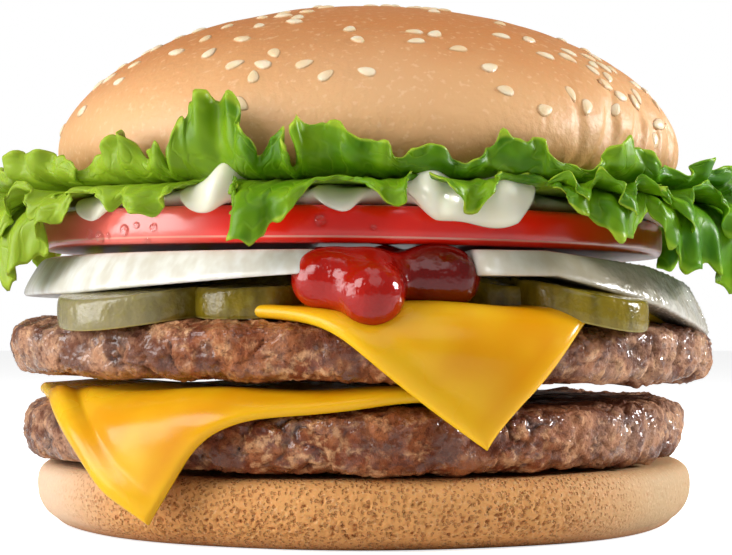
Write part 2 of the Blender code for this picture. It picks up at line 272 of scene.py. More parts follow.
def rim_section(lower_rim, upper_rim, thickness, squareness, spacing, widest=0.5):
    """A rounded rim's section, from its underside to its top: inset from the outside and share of the height."""
    angle = np.linspace(-math.pi / 2, math.pi / 2, 400)
    power = 2 / squareness
    inset = np.where(angle < 0, lower_rim, upper_rim) * (1 - np.cos(angle).clip(0) ** power)
    half = np.where(angle < 0, widest, 1 - widest) * thickness
    rise = widest * thickness + half * np.sign(np.sin(angle)) * np.abs(np.sin(angle)) ** power
    return even_steps(np.stack([inset, rise], axis=-1), spacing) * (1, 1 / thickness)


def turn_skin(rings):
    """Points and faces of a closed skin through rings of points, from the lowest to the highest."""
    rows, columns = rings.shape[:2]
    ids = np.arange(rows * columns).reshape(rows, columns)
    wrapped = np.concatenate([ids, ids[:, :1]], axis=1)
    points = np.concatenate([rings.reshape(-1, 3), rings[:1].mean(axis=1), rings[-1:].mean(axis=1)])
    faces = quads(wrapped).tolist()
    bottom, top = rows * columns, rows * columns + 1
    for column in range(columns):
        after = (column + 1) % columns
        faces.append((bottom, ids[0, after], ids[0, column]))
        faces.append((top, ids[-1, column], ids[-1, after]))
    return points, faces


def soft_slab(name, middle, outline, section, heights, material, cap_rings=CAP_RINGS):
    """A slab of food over an outline of points round its middle, with a rounded rim. Heights gives the underside
    and the top at x, y."""
    out = outline - middle
    length = np.linalg.norm(out, axis=-1)
    rows = [(share, section[0, 0], 0.0) for share in cap_rings]
    rows += [(1.0, inset, share) for inset, share in section]
    rows += [(share, section[-1, 0], 1.0) for share in reversed(cap_rings)]
    rings = []
    for share, inset, level in rows:
        kept = (1 - inset / length) * share
        spots = middle + out * kept[:, None]
        under, over = heights(spots[:, 0], spots[:, 1])
        rings.append(np.stack([spots[:, 0], spots[:, 1], under + (over - under) * level], axis=-1))
    points, faces = turn_skin(np.array(rings))
    levels = np.repeat([level for _, _, level in rows], len(outline))
    return build_mesh(name, points, faces, material, {"level": np.append(levels, (0.0, 1.0))})


def round_slab(name, node_name, lower_rim, upper_rim, squareness, cell, material, widest=0.5):
    """A finely meshed round layer with the outline, bottom and top of its CAD node."""
    layer = read_layer(node_name)
    heading = np.arange(0, math.tau, cell / layer.radius(0.0))
    reach = layer.radius(heading)
    outline = np.stack([layer.x + reach * np.sin(heading), layer.y - reach * np.cos(heading)], axis=-1)
    section = rim_section(lower_rim, upper_rim, layer.top - layer.bottom, squareness, cell, widest)

    def heights(x, y):
        return layer.bottom + layer.lean(x), layer.top + layer.lean(x)

    return soft_slab(name, np.array([layer.x, layer.y]), outline, section, heights, material)


def geometry_tree(name, sizes):
    """A Geometry Nodes tree with named number inputs, and its first and last nodes."""
    tree = bpy.data.node_groups.new(name, "GeometryNodeTree")
    tree.interface.new_socket("Geometry", in_out="INPUT", socket_type="NodeSocketGeometry")
    for label in sizes:
        tree.interface.new_socket(label, in_out="INPUT", socket_type="NodeSocketFloat")
    tree.interface.new_socket("Material", in_out="INPUT", socket_type="NodeSocketMaterial")
    tree.interface.new_socket("Geometry", in_out="OUTPUT", socket_type="NodeSocketGeometry")
    return tree, tree.nodes.new("NodeGroupInput").outputs, tree.nodes.new("NodeGroupOutput")


def finish_tree(tree, geometry, given, last):
    """Ends a tree in plain, joined geometry with its material."""
    real = node(tree, "GeometryNodeRealizeInstances", {0: geometry}).outputs[0]
    dressed = node(tree, "GeometryNodeSetMaterial", {"Geometry": real, "Material": given["Material"]})
    tree.links.new(dressed.outputs[0], last.inputs[0])


def apply_tree(piece, tree, values):
    """Runs a tree on a piece and keeps its result as the piece's own mesh."""
    modifier = piece.modifiers.new(tree.name, "NODES")
    modifier.node_group = tree
    for item in tree.interface.items_tree:
        if item.in_out == "INPUT" and item.name in values:
            modifier[item.identifier] = values[item.name]
    bpy.context.view_layer.update()
    evaluated = piece.evaluated_get(bpy.context.evaluated_depsgraph_get())
    mesh = bpy.data.meshes.new_from_object(evaluated)
    piece.modifiers.remove(modifier)
    plain = piece.data
    piece.data = mesh
    bpy.data.meshes.remove(plain)
    mesh.name = piece.name


def offset_along_normal(tree, geometry, height, shrinkage):
    """Moves each point out along the surface's normal and remembers its height in millimetres."""
    marked = node(
        tree, "GeometryNodeStoreNamedAttribute", {"Geometry": geometry, "Name": "relief", "Value": height},
        data_type="FLOAT", domain="POINT",
    ).outputs[0]
    normal = node(tree, "GeometryNodeInputNormal").outputs[0]
    distance = maths(tree, "MULTIPLY", maths(tree, "SUBTRACT", height, shrinkage), MM)
    push = node(tree, "ShaderNodeVectorMath", {0: normal, "Scale": distance}, operation="SCALE")
    return node(tree, "GeometryNodeSetPosition", {"Geometry": marked, "Offset": push.outputs[0]}).outputs[0]


def warp(tree, place, size, amount):
    """Stirs a pattern's coordinates, so that its cells are not round."""
    stir = node(tree, "ShaderNodeTexNoise", {"Vector": place, "Scale": 0.6 / size, "Detail": 2.0}).outputs[1]
    centred = node(tree, "ShaderNodeVectorMath", {0: stir, 1: (0.5, 0.5, 0.5)}, operation="SUBTRACT").outputs[0]
    scaled = node(tree, "ShaderNodeVectorMath", {0: centred, "Scale": amount}, operation="SCALE").outputs[0]
    return node(tree, "ShaderNodeVectorMath", {0: place, 1: scaled}, operation="ADD").outputs[0]


def cells(tree, place, size, feature="F1", smoothness=None):
    """Distance to the nearest cell centre, or to a cell's edge, as a share of the cell size."""
    inputs = {"Vector": place, "Scale": 1 / size}
    if smoothness is not None:
        inputs["Smoothness"] = smoothness
    return node(tree, "ShaderNodeTexVoronoi", inputs, feature=feature).outputs["Distance"]


def crumb_tree():
    """Pores of two sizes sunk into the side of the heel, over a gently uneven surface."""
    tree, given, last = geometry_tree("Open crumb", ("Pore depth", "Swell", "Shrinkage"))
    place = node(tree, "GeometryNodeInputPosition").outputs[0]
    stirred = warp(tree, place, 1.2 * MM, 0.9 * MM)
    large = ramp(tree, cells(tree, stirred, 1.25 * MM), 0.16, 0.38, 1.0, 0.0)
    some = ramp(tree, cloudy(tree, place, 2.5 * MM), 0.30, 0.60)
    small = ramp(tree, cells(tree, stirred, 0.95 * MM), 0.15, 0.42, 1.0, 0.0)
    pores = maths(tree, "MAXIMUM", maths(tree, "MULTIPLY", large, some), maths(tree, "MULTIPLY", small, 0.55))

    parts = node(tree, "ShaderNodeSeparateXYZ", {0: place}).outputs
    heading = maths(tree, "ARCTAN2", parts[0], maths(tree, "MULTIPLY", parts[1], -1.0))
    front = ramp(tree, maths(tree, "ABSOLUTE", maths(tree, "ADD", heading, 0.1)), 0.50, 1.05, 1.0, 0.0)
    back = ramp(tree, maths(tree, "ABSOLUTE", heading), 2.2, 2.9)
    patchy = ramp(tree, cloudy(tree, place, 14 * MM), 0.4, 0.7, 0.0, 0.5)
    sides = maths(tree, "MAXIMUM", maths(tree, "MAXIMUM", front, back), patchy)
    low = ramp(tree, parts[2], 0.6 * MM, 2.2 * MM, 0.0, 1.0)
    high = ramp(tree, parts[2], 6.5 * MM, 11.0 * MM, 1.0, 0.15)
    open_share = maths(tree, "MULTIPLY", sides, maths(tree, "MULTIPLY", low, high))

    sunk = maths(tree, "MULTIPLY", maths(tree, "MULTIPLY", pores, open_share), given["Pore depth"])
    swell = maths(tree, "SUBTRACT", cloudy(tree, place, 9 * MM), 0.5)
    crumbs = maths(tree, "MULTIPLY", maths(tree, "SUBTRACT", cloudy(tree, place, 0.8 * MM), 0.5), 0.30)
    rough = maths(tree, "MULTIPLY", crumbs, maths(tree, "ADD", open_share, 0.15))
    level = maths(tree, "MULTIPLY", swell, given["Swell"])
    height = maths(tree, "SUBTRACT", maths(tree, "ADD", level, rough), sunk)
    standing = ramp(tree, parts[2], 0.0, 1.0 * MM)
    height = maths(tree, "MULTIPLY", height, standing)
    shrinkage = maths(tree, "MULTIPLY", given["Shrinkage"], standing)
    finish_tree(tree, offset_along_normal(tree, given["Geometry"], height, shrinkage), given, last)
    return tree


def crumb_material():
    material, tree, shader, place = new_material("open wheat crumb")
    relief = node(tree, "ShaderNodeAttribute", attribute_name="relief").outputs["Fac"]
    parts = node(tree, "ShaderNodeSeparateXYZ", {0: place}).outputs
    heading = maths(tree, "ARCTAN2", parts[0], maths(tree, "MULTIPLY", parts[1], -1.0))
    ends = ramp(tree, maths(tree, "ABSOLUTE", maths(tree, "ADD", heading, 0.1)), 0.55, 1.15)
    tone = cloudy(tree, place, 6 * MM, 3.0)
    colour = blend(tree, tone, (0.62, 0.275, 0.075), (0.76, 0.37, 0.115))
    # Towards both ends the side turns pale; towards the right end that pale is darker, which is painted shade.
    pale = blend(tree, ramp(tree, parts[0], 10 * MM, 45 * MM), (0.78, 0.58, 0.41), (0.52, 0.37, 0.21))
    colour = blend(tree, maths(tree, "MULTIPLY", ends, 0.85), colour, pale)
    browned = ramp(tree, maths(tree, "ADD", parts[2], maths(tree, "MULTIPLY", tone, 1.2 * MM)), 2.6 * MM, 1.0 * MM)
    colour = blend(tree, maths(tree, "MULTIPLY", browned, 0.7), colour, (0.36, 0.135, 0.035))
    toasted = ramp(tree, parts[2], 9.2 * MM, 11.4 * MM)
    colour = blend(tree, maths(tree, "MULTIPLY", toasted, 0.4), colour, (0.52, 0.25, 0.08))
    # Sunk pores are darkened by their relief: painted shade in the hollows.
    colour = blend(tree, ramp(tree, relief, -0.10, -0.45), colour, (0.50, 0.19, 0.048))
    fine = cloudy(tree, place, 0.35 * MM, 2.0)
    colour = blend(tree, maths(tree, "MULTIPLY", ramp(tree, fine, 0.55, 0.75), 0.25), colour, (0.93, 0.72, 0.45))
    # Small pores are painted as darker spots: painted shade in holes too fine for the mesh.
    holes = ramp(tree, cells(tree, warp(tree, place, 0.8 * MM, 0.5 * MM), 0.68 * MM), 0.20, 0.46, 1.0, 0.0)
    holes = maths(tree, "MULTIPLY", holes, ramp(tree, ends, 0.0, 1.0, 1.0, 0.1))
    colour = blend(tree, maths(tree, "MULTIPLY", holes, 0.55), colour, (0.46, 0.17, 0.04))
    tree.links.new(colour, shader.inputs["Base Color"])
    set_shader(shader, Roughness=0.75, Subsurface_Weight=0.15, Subsurface_Scale=1.0 * MM)
    roughen(tree, shader, maths(tree, "MULTIPLY_ADD", fine, 0.3, maths(tree, "MULTIPLY", holes, -0.8)), 0.35 * MM)
    return material


heel_material = crumb_material()
heel = round_slab("heel", "bottom_bun", *HEEL_RIMS, HEEL_SQUARENESS, HEEL_CELL, heel_material, HEEL_WIDEST)
apply_tree(heel, crumb_tree(), {"Pore depth": 0.6, "Swell": 0.7, "Shrinkage": 0.6, "Material": heel_material})
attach(heel, "root")
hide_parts("bottom_bun")

# ---------------------------------------------------------------------------------------------------------------
# Beef patties. Coarse ground beef pressed flat and grilled: knots of meat 3 to 6 mm wide with cracks and pits
# between them, moist with fat; the crevices are painted nearly black as shade. At the right the knots are drawn into
# ridges.
# ---------------------------------------------------------------------------------------------------------------
PATTY_CELL = 0.37 * MM
PATTY_RIMS = (6.5 * MM, 7.5 * MM)  # below and above
PATTY_SQUARENESS = 2.5
PATTY_RELIEF = {
    "Swell": 1.6, "Knot height": 1.6, "Grain height": 1.3, "Groove depth": 0.6, "Pit depth": 1.3,
    "Ridge height": 3.0, "Shrinkage": 0.85,
}


def groove(tree, noise, width):
    """Narrow furrows that wander where a noise passes its middle: 1 in the furrow and 0 beside it."""
    return ramp(tree, maths(tree, "ABSOLUTE", maths(tree, "SUBTRACT", noise, 0.5)), 0.0, width, 1.0, 0.0)


def meat_tree():
    """Knots, furrows and pits of ground meat over a slab, and ridges on its right side."""
    tree, given, last = geometry_tree("Ground meat", tuple(PATTY_RELIEF))
    place = node(tree, "GeometryNodeInputPosition").outputs[0]
    stirred = warp(tree, place, 5 * MM, 6 * MM)
    swell = maths(tree, "SUBTRACT", cloudy(tree, place, 11 * MM), 0.5)
    knots = maths(tree, "SUBTRACT", cloudy(tree, stirred, 3.6 * MM, 1.0), 0.5)
    grain = maths(tree, "SUBTRACT", cloudy(tree, stirred, 1.3 * MM, 3.0, 0.7), 0.5)
    patches = ramp(tree, cloudy(tree, place, 8 * MM), 0.40, 0.62)
    coarse = maths(tree, "MULTIPLY", groove(tree, cloudy(tree, stirred, 4.5 * MM, 1.0), 0.035), patches)
    fine = maths(tree, "MULTIPLY", groove(tree, cloudy(tree, stirred, 2.1 * MM, 1.0), 0.05), 0.45)
    pit = ramp(tree, cells(tree, stirred, 2.4 * MM), 0.10, 0.26, 1.0, 0.0)
    pit = maths(tree, "MULTIPLY", pit, ramp(tree, cloudy(tree, place, 3 * MM), 0.58, 0.66))

    height = maths(tree, "MULTIPLY", swell, given["Swell"])
    height = maths(tree, "MULTIPLY_ADD", knots, given["Knot height"], height)
    height = maths(tree, "MULTIPLY_ADD", grain, given["Grain height"], height)
    sunk = maths(tree, "MULTIPLY", maths(tree, "MAXIMUM", coarse, fine), given["Groove depth"])
    sunk = maths(tree, "MAXIMUM", sunk, maths(tree, "MULTIPLY", pit, given["Pit depth"]))
    height = maths(tree, "SUBTRACT", height, sunk)

    parts = node(tree, "ShaderNodeSeparateXYZ", {0: place}).outputs
    heading = maths(tree, "ARCTAN2", parts[0], maths(tree, "MULTIPLY", parts[1], -1.0))
    slanted = maths(tree, "MULTIPLY_ADD", parts[2], -0.25, maths(tree, "MULTIPLY", heading, 60 * MM))
    along = node(tree, "ShaderNodeCombineXYZ", {0: slanted, 1: maths(tree, "MULTIPLY", parts[2], 0.22)}).outputs[0]
    ridges = maths(tree, "SUBTRACT", cloudy(tree, warp(tree, along, 5 * MM, 1.5 * MM), 1.5 * MM, 1.0), 0.5)
    drawn = ramp(tree, heading, 0.60, 0.95)
    drawn = maths(tree, "MULTIPLY", drawn, ramp(tree, heading, 2.2, 2.7, 1.0, 0.0))
    height = maths(tree, "MULTIPLY_ADD", maths(tree, "MULTIPLY", ridges, drawn), given["Ridge height"], height)

    across = node(tree, "ShaderNodeCombineXYZ", {0: parts[0], 1: parts[1]}).outputs[0]
    radius = node(tree, "ShaderNodeVectorMath", {0: across}, operation="LENGTH").outputs["Value"]
    height = maths(tree, "MULTIPLY", height, ramp(tree, radius, 44 * MM, 54 * MM, 0.25, 1.0))
    up = node(tree, "ShaderNodeSeparateXYZ", {0: node(tree, "GeometryNodeInputNormal").outputs[0]}).outputs[2]
    settled = maths(tree, "ADD", ramp(tree, up, -1.0, -0.4, 0.0, 1.0), ramp(tree, up, 0.4, 1.0, 0.0, 0.7))
    shrinkage = maths(tree, "MULTIPLY", given["Shrinkage"], settled)
    finish_tree(tree, offset_along_normal(tree, given["Geometry"], height, shrinkage), given, last)
    return tree


def beef_material():
    material, tree, shader, place = new_material("grilled ground beef")
    relief = node(tree, "ShaderNodeAttribute", attribute_name="relief").outputs["Fac"]
    stirred = warp(tree, place, 3 * MM, 3 * MM)
    tone = cloudy(tree, stirred, 3.5 * MM, 3.0)
    colour = blend(tree, ramp(tree, tone, 0.35, 0.65), (0.19, 0.037, 0.009), (0.45, 0.160, 0.058))
    pale = ramp(tree, cloudy(tree, stirred, 1.3 * MM, 3.0, 0.65), 0.46, 0.66)
    colour = blend(tree, maths(tree, "MULTIPLY", pale, 0.85), colour, (0.73, 0.39, 0.185))
    rusty = ramp(tree, cloudy(tree, place, 6 * MM, 1.0), 0.48, 0.66)
    colour = blend(tree, maths(tree, "MULTIPLY", rusty, 0.6), colour, (0.27, 0.065, 0.014))
    across = node(tree, "ShaderNodeSeparateXYZ", {0: place}).outputs[0]
    # Paler towards both ends: painted light, for the lit left end and the glints on the right end.
    seared = ramp(tree, maths(tree, "ABSOLUTE", across), 24 * MM, 46 * MM, 0.0, 0.4)
    colour = blend(tree, seared, colour, (0.78, 0.50, 0.33))
    fine = cloudy(tree, place, 0.7 * MM, 4.0, 0.7)
    colour = blend(tree, ramp(tree, fine, 0.50, 0.66, 0.0, 0.65), colour, (0.09, 0.022, 0.009))
    charred = ramp(tree, cloudy(tree, stirred, 4.5 * MM, 4.0, 0.6), 0.46, 0.60)
    colour = blend(tree, maths(tree, "MULTIPLY", charred, 0.85), colour, (0.12, 0.025, 0.007))
    # Crevices and pits are darkened nearly to black by their relief: painted shade.
    colour = blend(tree, ramp(tree, relief, -0.1, -1.2), colour, (0.035, 0.008, 0.005))
    tree.links.new(colour, shader.inputs["Base Color"])
    wet = cloudy(tree, place, 2.2 * MM, 2.0)
    tree.links.new(ramp(tree, wet, 0.4, 0.65, 0.50, 0.25), shader.inputs["Roughness"])
    tree.links.new(ramp(tree, wet, 0.42, 0.58, 0.0, 0.9), shader.inputs["Coat Weight"])
    set_shader(shader, Coat_Roughness=0.07, Specular_IOR_Level=0.2)
    roughen(tree, shader, fine, 0.8 * MM)
    film = node(tree, "ShaderNodeBump", {"Height": cloudy(tree, stirred, 2.0 * MM, 2.0), "Distance": 1.2 * MM})
    tree.links.new(film.outputs[0], shader.inputs["Coat Normal"])
    return material


beef = beef_material()
meat = meat_tree()
for patty_name in ("lower_patty", "upper_patty"):
    patty = round_slab(patty_name + "_meat", patty_name, *PATTY_RIMS, PATTY_SQUARENESS, PATTY_CELL, beef)
    apply_tree(patty, meat, {**PATTY_RELIEF, "Material": beef})
    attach(patty, "root")
    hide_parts(patty_name)

# ---------------------------------------------------------------------------------------------------------------
# Cheese. Two soft square slices of amber processed cheese, laid on the warm patties with a corner over the rim.
# The corner bends down over the meat and hangs, stretched a little by its own weight.
# ---------------------------------------------------------------------------------------------------------------
CHEESE_THICKNESS = 2.1 * MM
CHEESE_SINKAGE = 1.2 * MM
CHEESE_BEND = 7.0 * MM
CHEESE_RIM_GAP = 1.5 * MM
CHEESE_CELL = 0.8 * MM
CHEESES = {  # slice: its patty, heading, corner across and along the run, side, turns along its hems, lip
    "lower_cheese": (
        "lower_patty", -30.4, 0.0, 78.1 * MM, 66 * MM, ((0, 30), (8, 34), (12, 48), (66, 47)),
        ((0, 60), (12, 58), (16, 48), (21, 36), (28, 28), (40, 33), (50, 42), (66, 50)), 1.3 * MM,
    ),
    "upper_cheese": (
        "upper_patty", 0.0, 19.3 * MM, 78.2 * MM, 72 * MM,
        ((0, 22), (10, 31), (20, 38), (30, 38), (40, 34), (50, 38), (56, 58), (72, 60)),
        ((0, 65), (4, 58), (12, 55), (24, 64), (34, 66), (72, 60)), 0.35 * MM,
    ),
}


def crowded_steps(length, cell, rim):
    """Distances from 0 to a length, close together within the rounded rim at both ends."""
    rounded = rim * (1 - np.cos(np.linspace(0, math.pi / 2, 5)))
    middle = np.linspace(rim, length - rim, int((length - 2 * rim) / cell) + 1)[1:-1]
    return np.concatenate([rounded, middle, (length - rounded)[::-1]])


def sheet_parts(surface, depth, edge_distance, marks=None):
    """Points, faces and marks of a soft sheet with a rounded edge, around its middle surface of rows of points."""
    across = np.gradient(surface, axis=1)
    along = np.gradient(surface, axis=0)
    normal = np.cross(across, along)
    normal /= np.linalg.norm(normal, axis=-1, keepdims=True).clip(1e-12)
    rounding = 1 - (1 - (edge_distance / (depth / 2)).clip(0, 1)) ** 2
    half = (depth / 2 * np.sqrt(rounding))[..., None]
    top, bottom = surface + normal * half, surface - normal * half
    rows, columns = surface.shape[:2]
    ids = np.arange(rows * columns).reshape(rows, columns)
    inside = np.zeros((rows, columns), bool)
    inside[1:-1, 1:-1] = True
    under = ids.copy()
    under[inside] = rows * columns + np.arange(inside.sum())
    points = np.concatenate([top.reshape(-1, 3), bottom[inside]])
    faces = np.concatenate([quads(ids), quads(under)[:, ::-1]])
    kept = {label: np.concatenate([values.ravel(), values[inside]]) for label, values in (marks or {}).items()}
    return points, faces, kept


def hem(distances, turns):
    """Runs along a hem from its tip: how far sideways and how far back, for hems whose turn changes."""
    places, angles = zip(*turns)
    turn = np.radians(np.interp(distances / MM, places, angles))
    steps = np.diff(distances, prepend=0.0)
    return np.cumsum(steps * np.cos(turn)), np.cumsum(steps * np.sin(turn))


def drape(layer, heading, across, run, lift, bend=CHEESE_BEND, gap=CHEESE_RIM_GAP):
    """Places a lifted sheet over a round layer's flat top and down past its rim."""
    chord = np.sqrt((layer.radius(heading) ** 2 - across**2).clip(1e-6))
    reach = layer.radius(heading + np.arctan2(across, chord))
    edge = np.sqrt((reach**2 - across**2).clip((reach / 2) ** 2)) + gap
    past = (run - (edge - bend)).clip(0)
    lean = (past / bend).clip(0, math.pi / 2)
    out = np.where(past > 0, edge - bend + bend * np.sin(lean), run) + lift * np.sin(lean)
    drop = bend * (1 - np.cos(lean)) + (past - bend * math.pi / 2).clip(0)
    x = layer.x + across * np.cos(heading) + out * np.sin(heading)
    y = layer.y + across * np.sin(heading) - out * np.cos(heading)
    return np.stack([x, y, layer.top + layer.lean(x) + lift * np.cos(lean) - drop], axis=-1)


def cheese_material():
    material, tree, shader, place = new_material("amber processed cheese")
    tone = cloudy(tree, place, 11 * MM, 2.0)
    colour = blend(tree, ramp(tree, tone, 0.32, 0.68), (0.72, 0.30, 0.001), (0.84, 0.49, 0.010))
    edge = node(tree, "ShaderNodeAttribute", attribute_name="edge").outputs["Fac"]
    # A lighter band along the hems: a painted highlight on the slice's rounded edge.
    colour = blend(tree, maths(tree, "MULTIPLY", edge, 0.6), colour, (0.92, 0.56, 0.01))
    tree.links.new(colour, shader.inputs["Base Color"])
    tree.links.new(ramp(tree, tone, 0.3, 0.7, 0.20, 0.30), shader.inputs["Roughness"])
    set_shader(shader, Subsurface_Weight=0.35, Subsurface_Radius=(1.0, 0.5, 0.1), Subsurface_Scale=1.5 * MM,
               Specular_IOR_Level=0.3)
    fine = cloudy(tree, place, 1.5 * MM, 2.0)
    roughen(tree, shader, fine, 0.05 * MM)
    return material


def make_cheese(name, patty, heading, across, run, side, left_hem, right_hem, lip, material):
    steps = crowded_steps(side, CHEESE_CELL, CHEESE_THICKNESS / 2)
    left_side, left_back = hem(steps, left_hem)
    right_side, right_back = hem(steps, right_hem)
    here = across - left_side[:, None] + right_side[None, :]
    along = run - left_back[:, None] - right_back[None, :]
    sway = 0.7 * MM * np.sin(here / (7 * MM)) * np.cos(along / (5 * MM) + 1.0)
    curled = np.sin((steps / (0.7 * side)).clip(0, 1) * math.pi)[:, None]
    inward = steps[None, :] / MM
    curl = lip * curled * (np.exp(-(((inward - 1.8) / 1.3) ** 2)) - 0.6 * np.exp(-(((inward - 4.6) / 1.6) ** 2)))
    lift = CHEESE_THICKNESS / 2 + REST_GAP - CHEESE_SINKAGE + sway + curl
    surface = drape(read_layer(patty), math.radians(heading), here, along, lift)
    near = np.minimum(steps, side - steps)
    distance = np.minimum(near[:, None], near[None, :])
    # The edge mark feeds the painted highlight along the hems.
    marks = {"edge": (1 - distance / (2.5 * MM)).clip(0, 1)}
    points, faces, kept = sheet_parts(surface, CHEESE_THICKNESS, distance, marks)
    return build_mesh(name + "_slice", points, faces, material, kept)


cheese = cheese_material()
for cheese_name, cut in CHEESES.items():
    slice_ = make_cheese(cheese_name, *cut, cheese)
    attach(slice_, "root")
    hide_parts(cheese_name)

# ---------------------------------------------------------------------------------------------------------------
# Pickle chips. Crosscut slices of pickled cucumber, wet and half clear, with a darker skin. They lie on the
# upper slice of cheese and sag over the patty's rim.
# ---------------------------------------------------------------------------------------------------------------
PICKLE_CELL = 0.45 * MM
PICKLE_THICKNESS = 4.9 * MM
PICKLE_GROWTH = 1.2 * MM
PICKLE_SHIFTS = {  # chip: to the right, to the back and up
    "pickle_front_left": (0.2 * MM, -0.5 * MM, 0.0),
    "pickle_front_middle": (-5.0 * MM, -8.5 * MM, 0.0),
    "pickle_right_inner": (-1.5 * MM, -11.0 * MM, 0.4 * MM),
    "pickle_right_outer": (-4.0 * MM, -1.5 * MM, 1.5 * MM),
}
SAG_START = 50 * MM
SAG_RATE = 10.0
upper_patty = read_layer("upper_patty")


def sag(x, y):
    """How far a soft slice sinks at x, y where it passes over the patty's rim."""
    return SAG_RATE * (np.hypot(x, y) - SAG_START).clip(0) ** 2


def bed_height(x, y):
    """Height of what the chips lie on: cheese in the middle and bare meat near the patty's rim."""
    cheese_share = 1 - ((np.hypot(x, y) - 44 * MM) / (8 * MM)).clip(0, 1)
    cheese_height = (CHEESE_THICKNESS + REST_GAP) * cheese_share**2 * (3 - 2 * cheese_share)
    side_drop = 0.5 * MM * ((-x - 15 * MM) / (35 * MM)).clip(0, 1) + 0.09 * (x - 27 * MM).clip(0)
    top = upper_patty.top - CHEESE_SINKAGE + upper_patty.lean(x)
    return top + REST_GAP + cheese_height - side_drop - sag(x, y)


def pickle_material():
    material, tree, shader, place = new_material("pickled cucumber")
    parts = node(tree, "ShaderNodeSeparateXYZ", {0: place}).outputs
    low = maths(tree, "MULTIPLY", parts[2], 0.15)
    tall = node(tree, "ShaderNodeCombineXYZ", {0: parts[0], 1: parts[1], 2: low}).outputs[0]
    streaks = cloudy(tree, tall, 1.4 * MM, 2.0)
    mottle = cloudy(tree, place, 1.1 * MM, 3.0)
    colour = blend(tree, ramp(tree, streaks, 0.3, 0.7), (0.13, 0.095, 0.003), (0.26, 0.185, 0.008))
    # Paler on the left chip: painted light and wet glints on its lit side.
    pale_side = ramp(tree, parts[0], -28 * MM, -36 * MM)
    colour = blend(tree, maths(tree, "MULTIPLY", pale_side, 0.7), colour, (0.32, 0.28, 0.15))
    colour = blend(tree, ramp(tree, mottle, 0.50, 0.72, 0.0, 0.35), colour, (0.30, 0.26, 0.05))
    level = node(tree, "ShaderNodeAttribute", attribute_name="level").outputs["Fac"]
    cut_edge = ramp(tree, level, 0.10, 0.02)
    colour = blend(tree, maths(tree, "MULTIPLY", cut_edge, 0.6), colour, (0.50, 0.44, 0.14))
    tree.links.new(colour, shader.inputs["Base Color"])
    set_shader(shader, Roughness=0.22, Subsurface_Weight=0.3, Subsurface_Radius=(0.8, 1.0, 0.2),
               Subsurface_Scale=1.5 * MM, Coat_Weight=0.4, Coat_Roughness=0.08, Specular_IOR_Level=0.3)
    roughen(tree, shader, mottle, 0.45 * MM)
    return material


def make_pickle(name, material):
    low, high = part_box(name)
    right, back, up = PICKLE_SHIFTS.get(name, (0.0, 0.0, 0.0))
    middle = np.array([(low.x + high.x) / 2 + right, (low.y + high.y) / 2 + back])
    radius = (high.x - low.x) / 2 + PICKLE_GROWTH
    heading = np.linspace(0, math.tau, int(math.tau * radius / PICKLE_CELL), endpoint=False)
    reach = radius * (1 + 0.015 * np.sin(3 * heading + radius / MM))
    outline = middle + np.stack([reach * np.sin(heading), -reach * np.cos(heading)], axis=-1)
    section = rim_section(0.7 * MM, 0.7 * MM, PICKLE_THICKNESS, 3.0, 0.25 * MM)

    def heights(x, y):
        under = bed_height(x, y) + up
        return under, under + PICKLE_THICKNESS

    caps = tuple(np.linspace(0.02, 0.97, 16))
    return soft_slab(name + "_chip", middle, outline, section, heights, material, caps)


pickled = pickle_material()
for pickle_name in sorted(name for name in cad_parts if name.startswith("pickle")):
    chip = make_pickle(pickle_name, pickled)
    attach(chip, "root")
    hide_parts(pickle_name)

# ---------------------------------------------------------------------------------------------------------------
# Ketchup. A thick, glossy squirt between the toppings: one lobe bulges over the cheese at the front and a second
# one lies behind it, under the tomato.
# ---------------------------------------------------------------------------------------------------------------
KETCHUP_DROPS = (  # x, y, z and radius of the round drops that run together, in millimetres
    (0.9, -60.5, 39.4, 5.9), (-6.8, -56.5, 41.7, 5.4), (-2.6, -56.5, 41.8, 5.2), (1.5, -55.0, 42.2, 5.0),
    (8.2, -52.5, 42.0, 5.2), (13.2, -52.0, 41.9, 5.2), (10.5, -51.0, 42.6, 4.8), (-7.0, -50.0, 43.0, 4.6),
    (3.0, -48.0, 43.0, 5.0), (10.0, -46.0, 43.0, 5.0),
)
DROP_REACH = 1.5  # how far a drop draws its neighbours in, as a share of its radius
BLOB_SCALE = 100.0


def melt_together(name, drops, cell, material):
    """Runs round drops together into one smooth closed blob. It is made a hundred times as large and then scaled
    down, because the cells of a blob cannot be smaller than 5 mm."""
    balls = bpy.data.metaballs.new(name)
    balls.resolution = cell * BLOB_SCALE
    balls.threshold = 0.6
    for x, y, z, radius in drops:
        drop = balls.elements.new()
        drop.co = np.array([x, y, z]) * MM * BLOB_SCALE
        drop.radius = radius * MM * BLOB_SCALE * DROP_REACH
        drop.stiffness = 2.0
    source = bpy.data.objects.new(name + "_drops", balls)
    bpy.context.scene.collection.objects.link(source)
    bpy.context.view_layer.update()
    mesh = bpy.data.meshes.new_from_object(source.evaluated_get(bpy.context.evaluated_depsgraph_get()))
    bpy.data.objects.remove(source)
    spots = np.array([vertex.co[:] for vertex in mesh.vertices]) / BLOB_SCALE
    return build_mesh(name, spots, [face.vertices[:] for face in mesh.polygons], material)


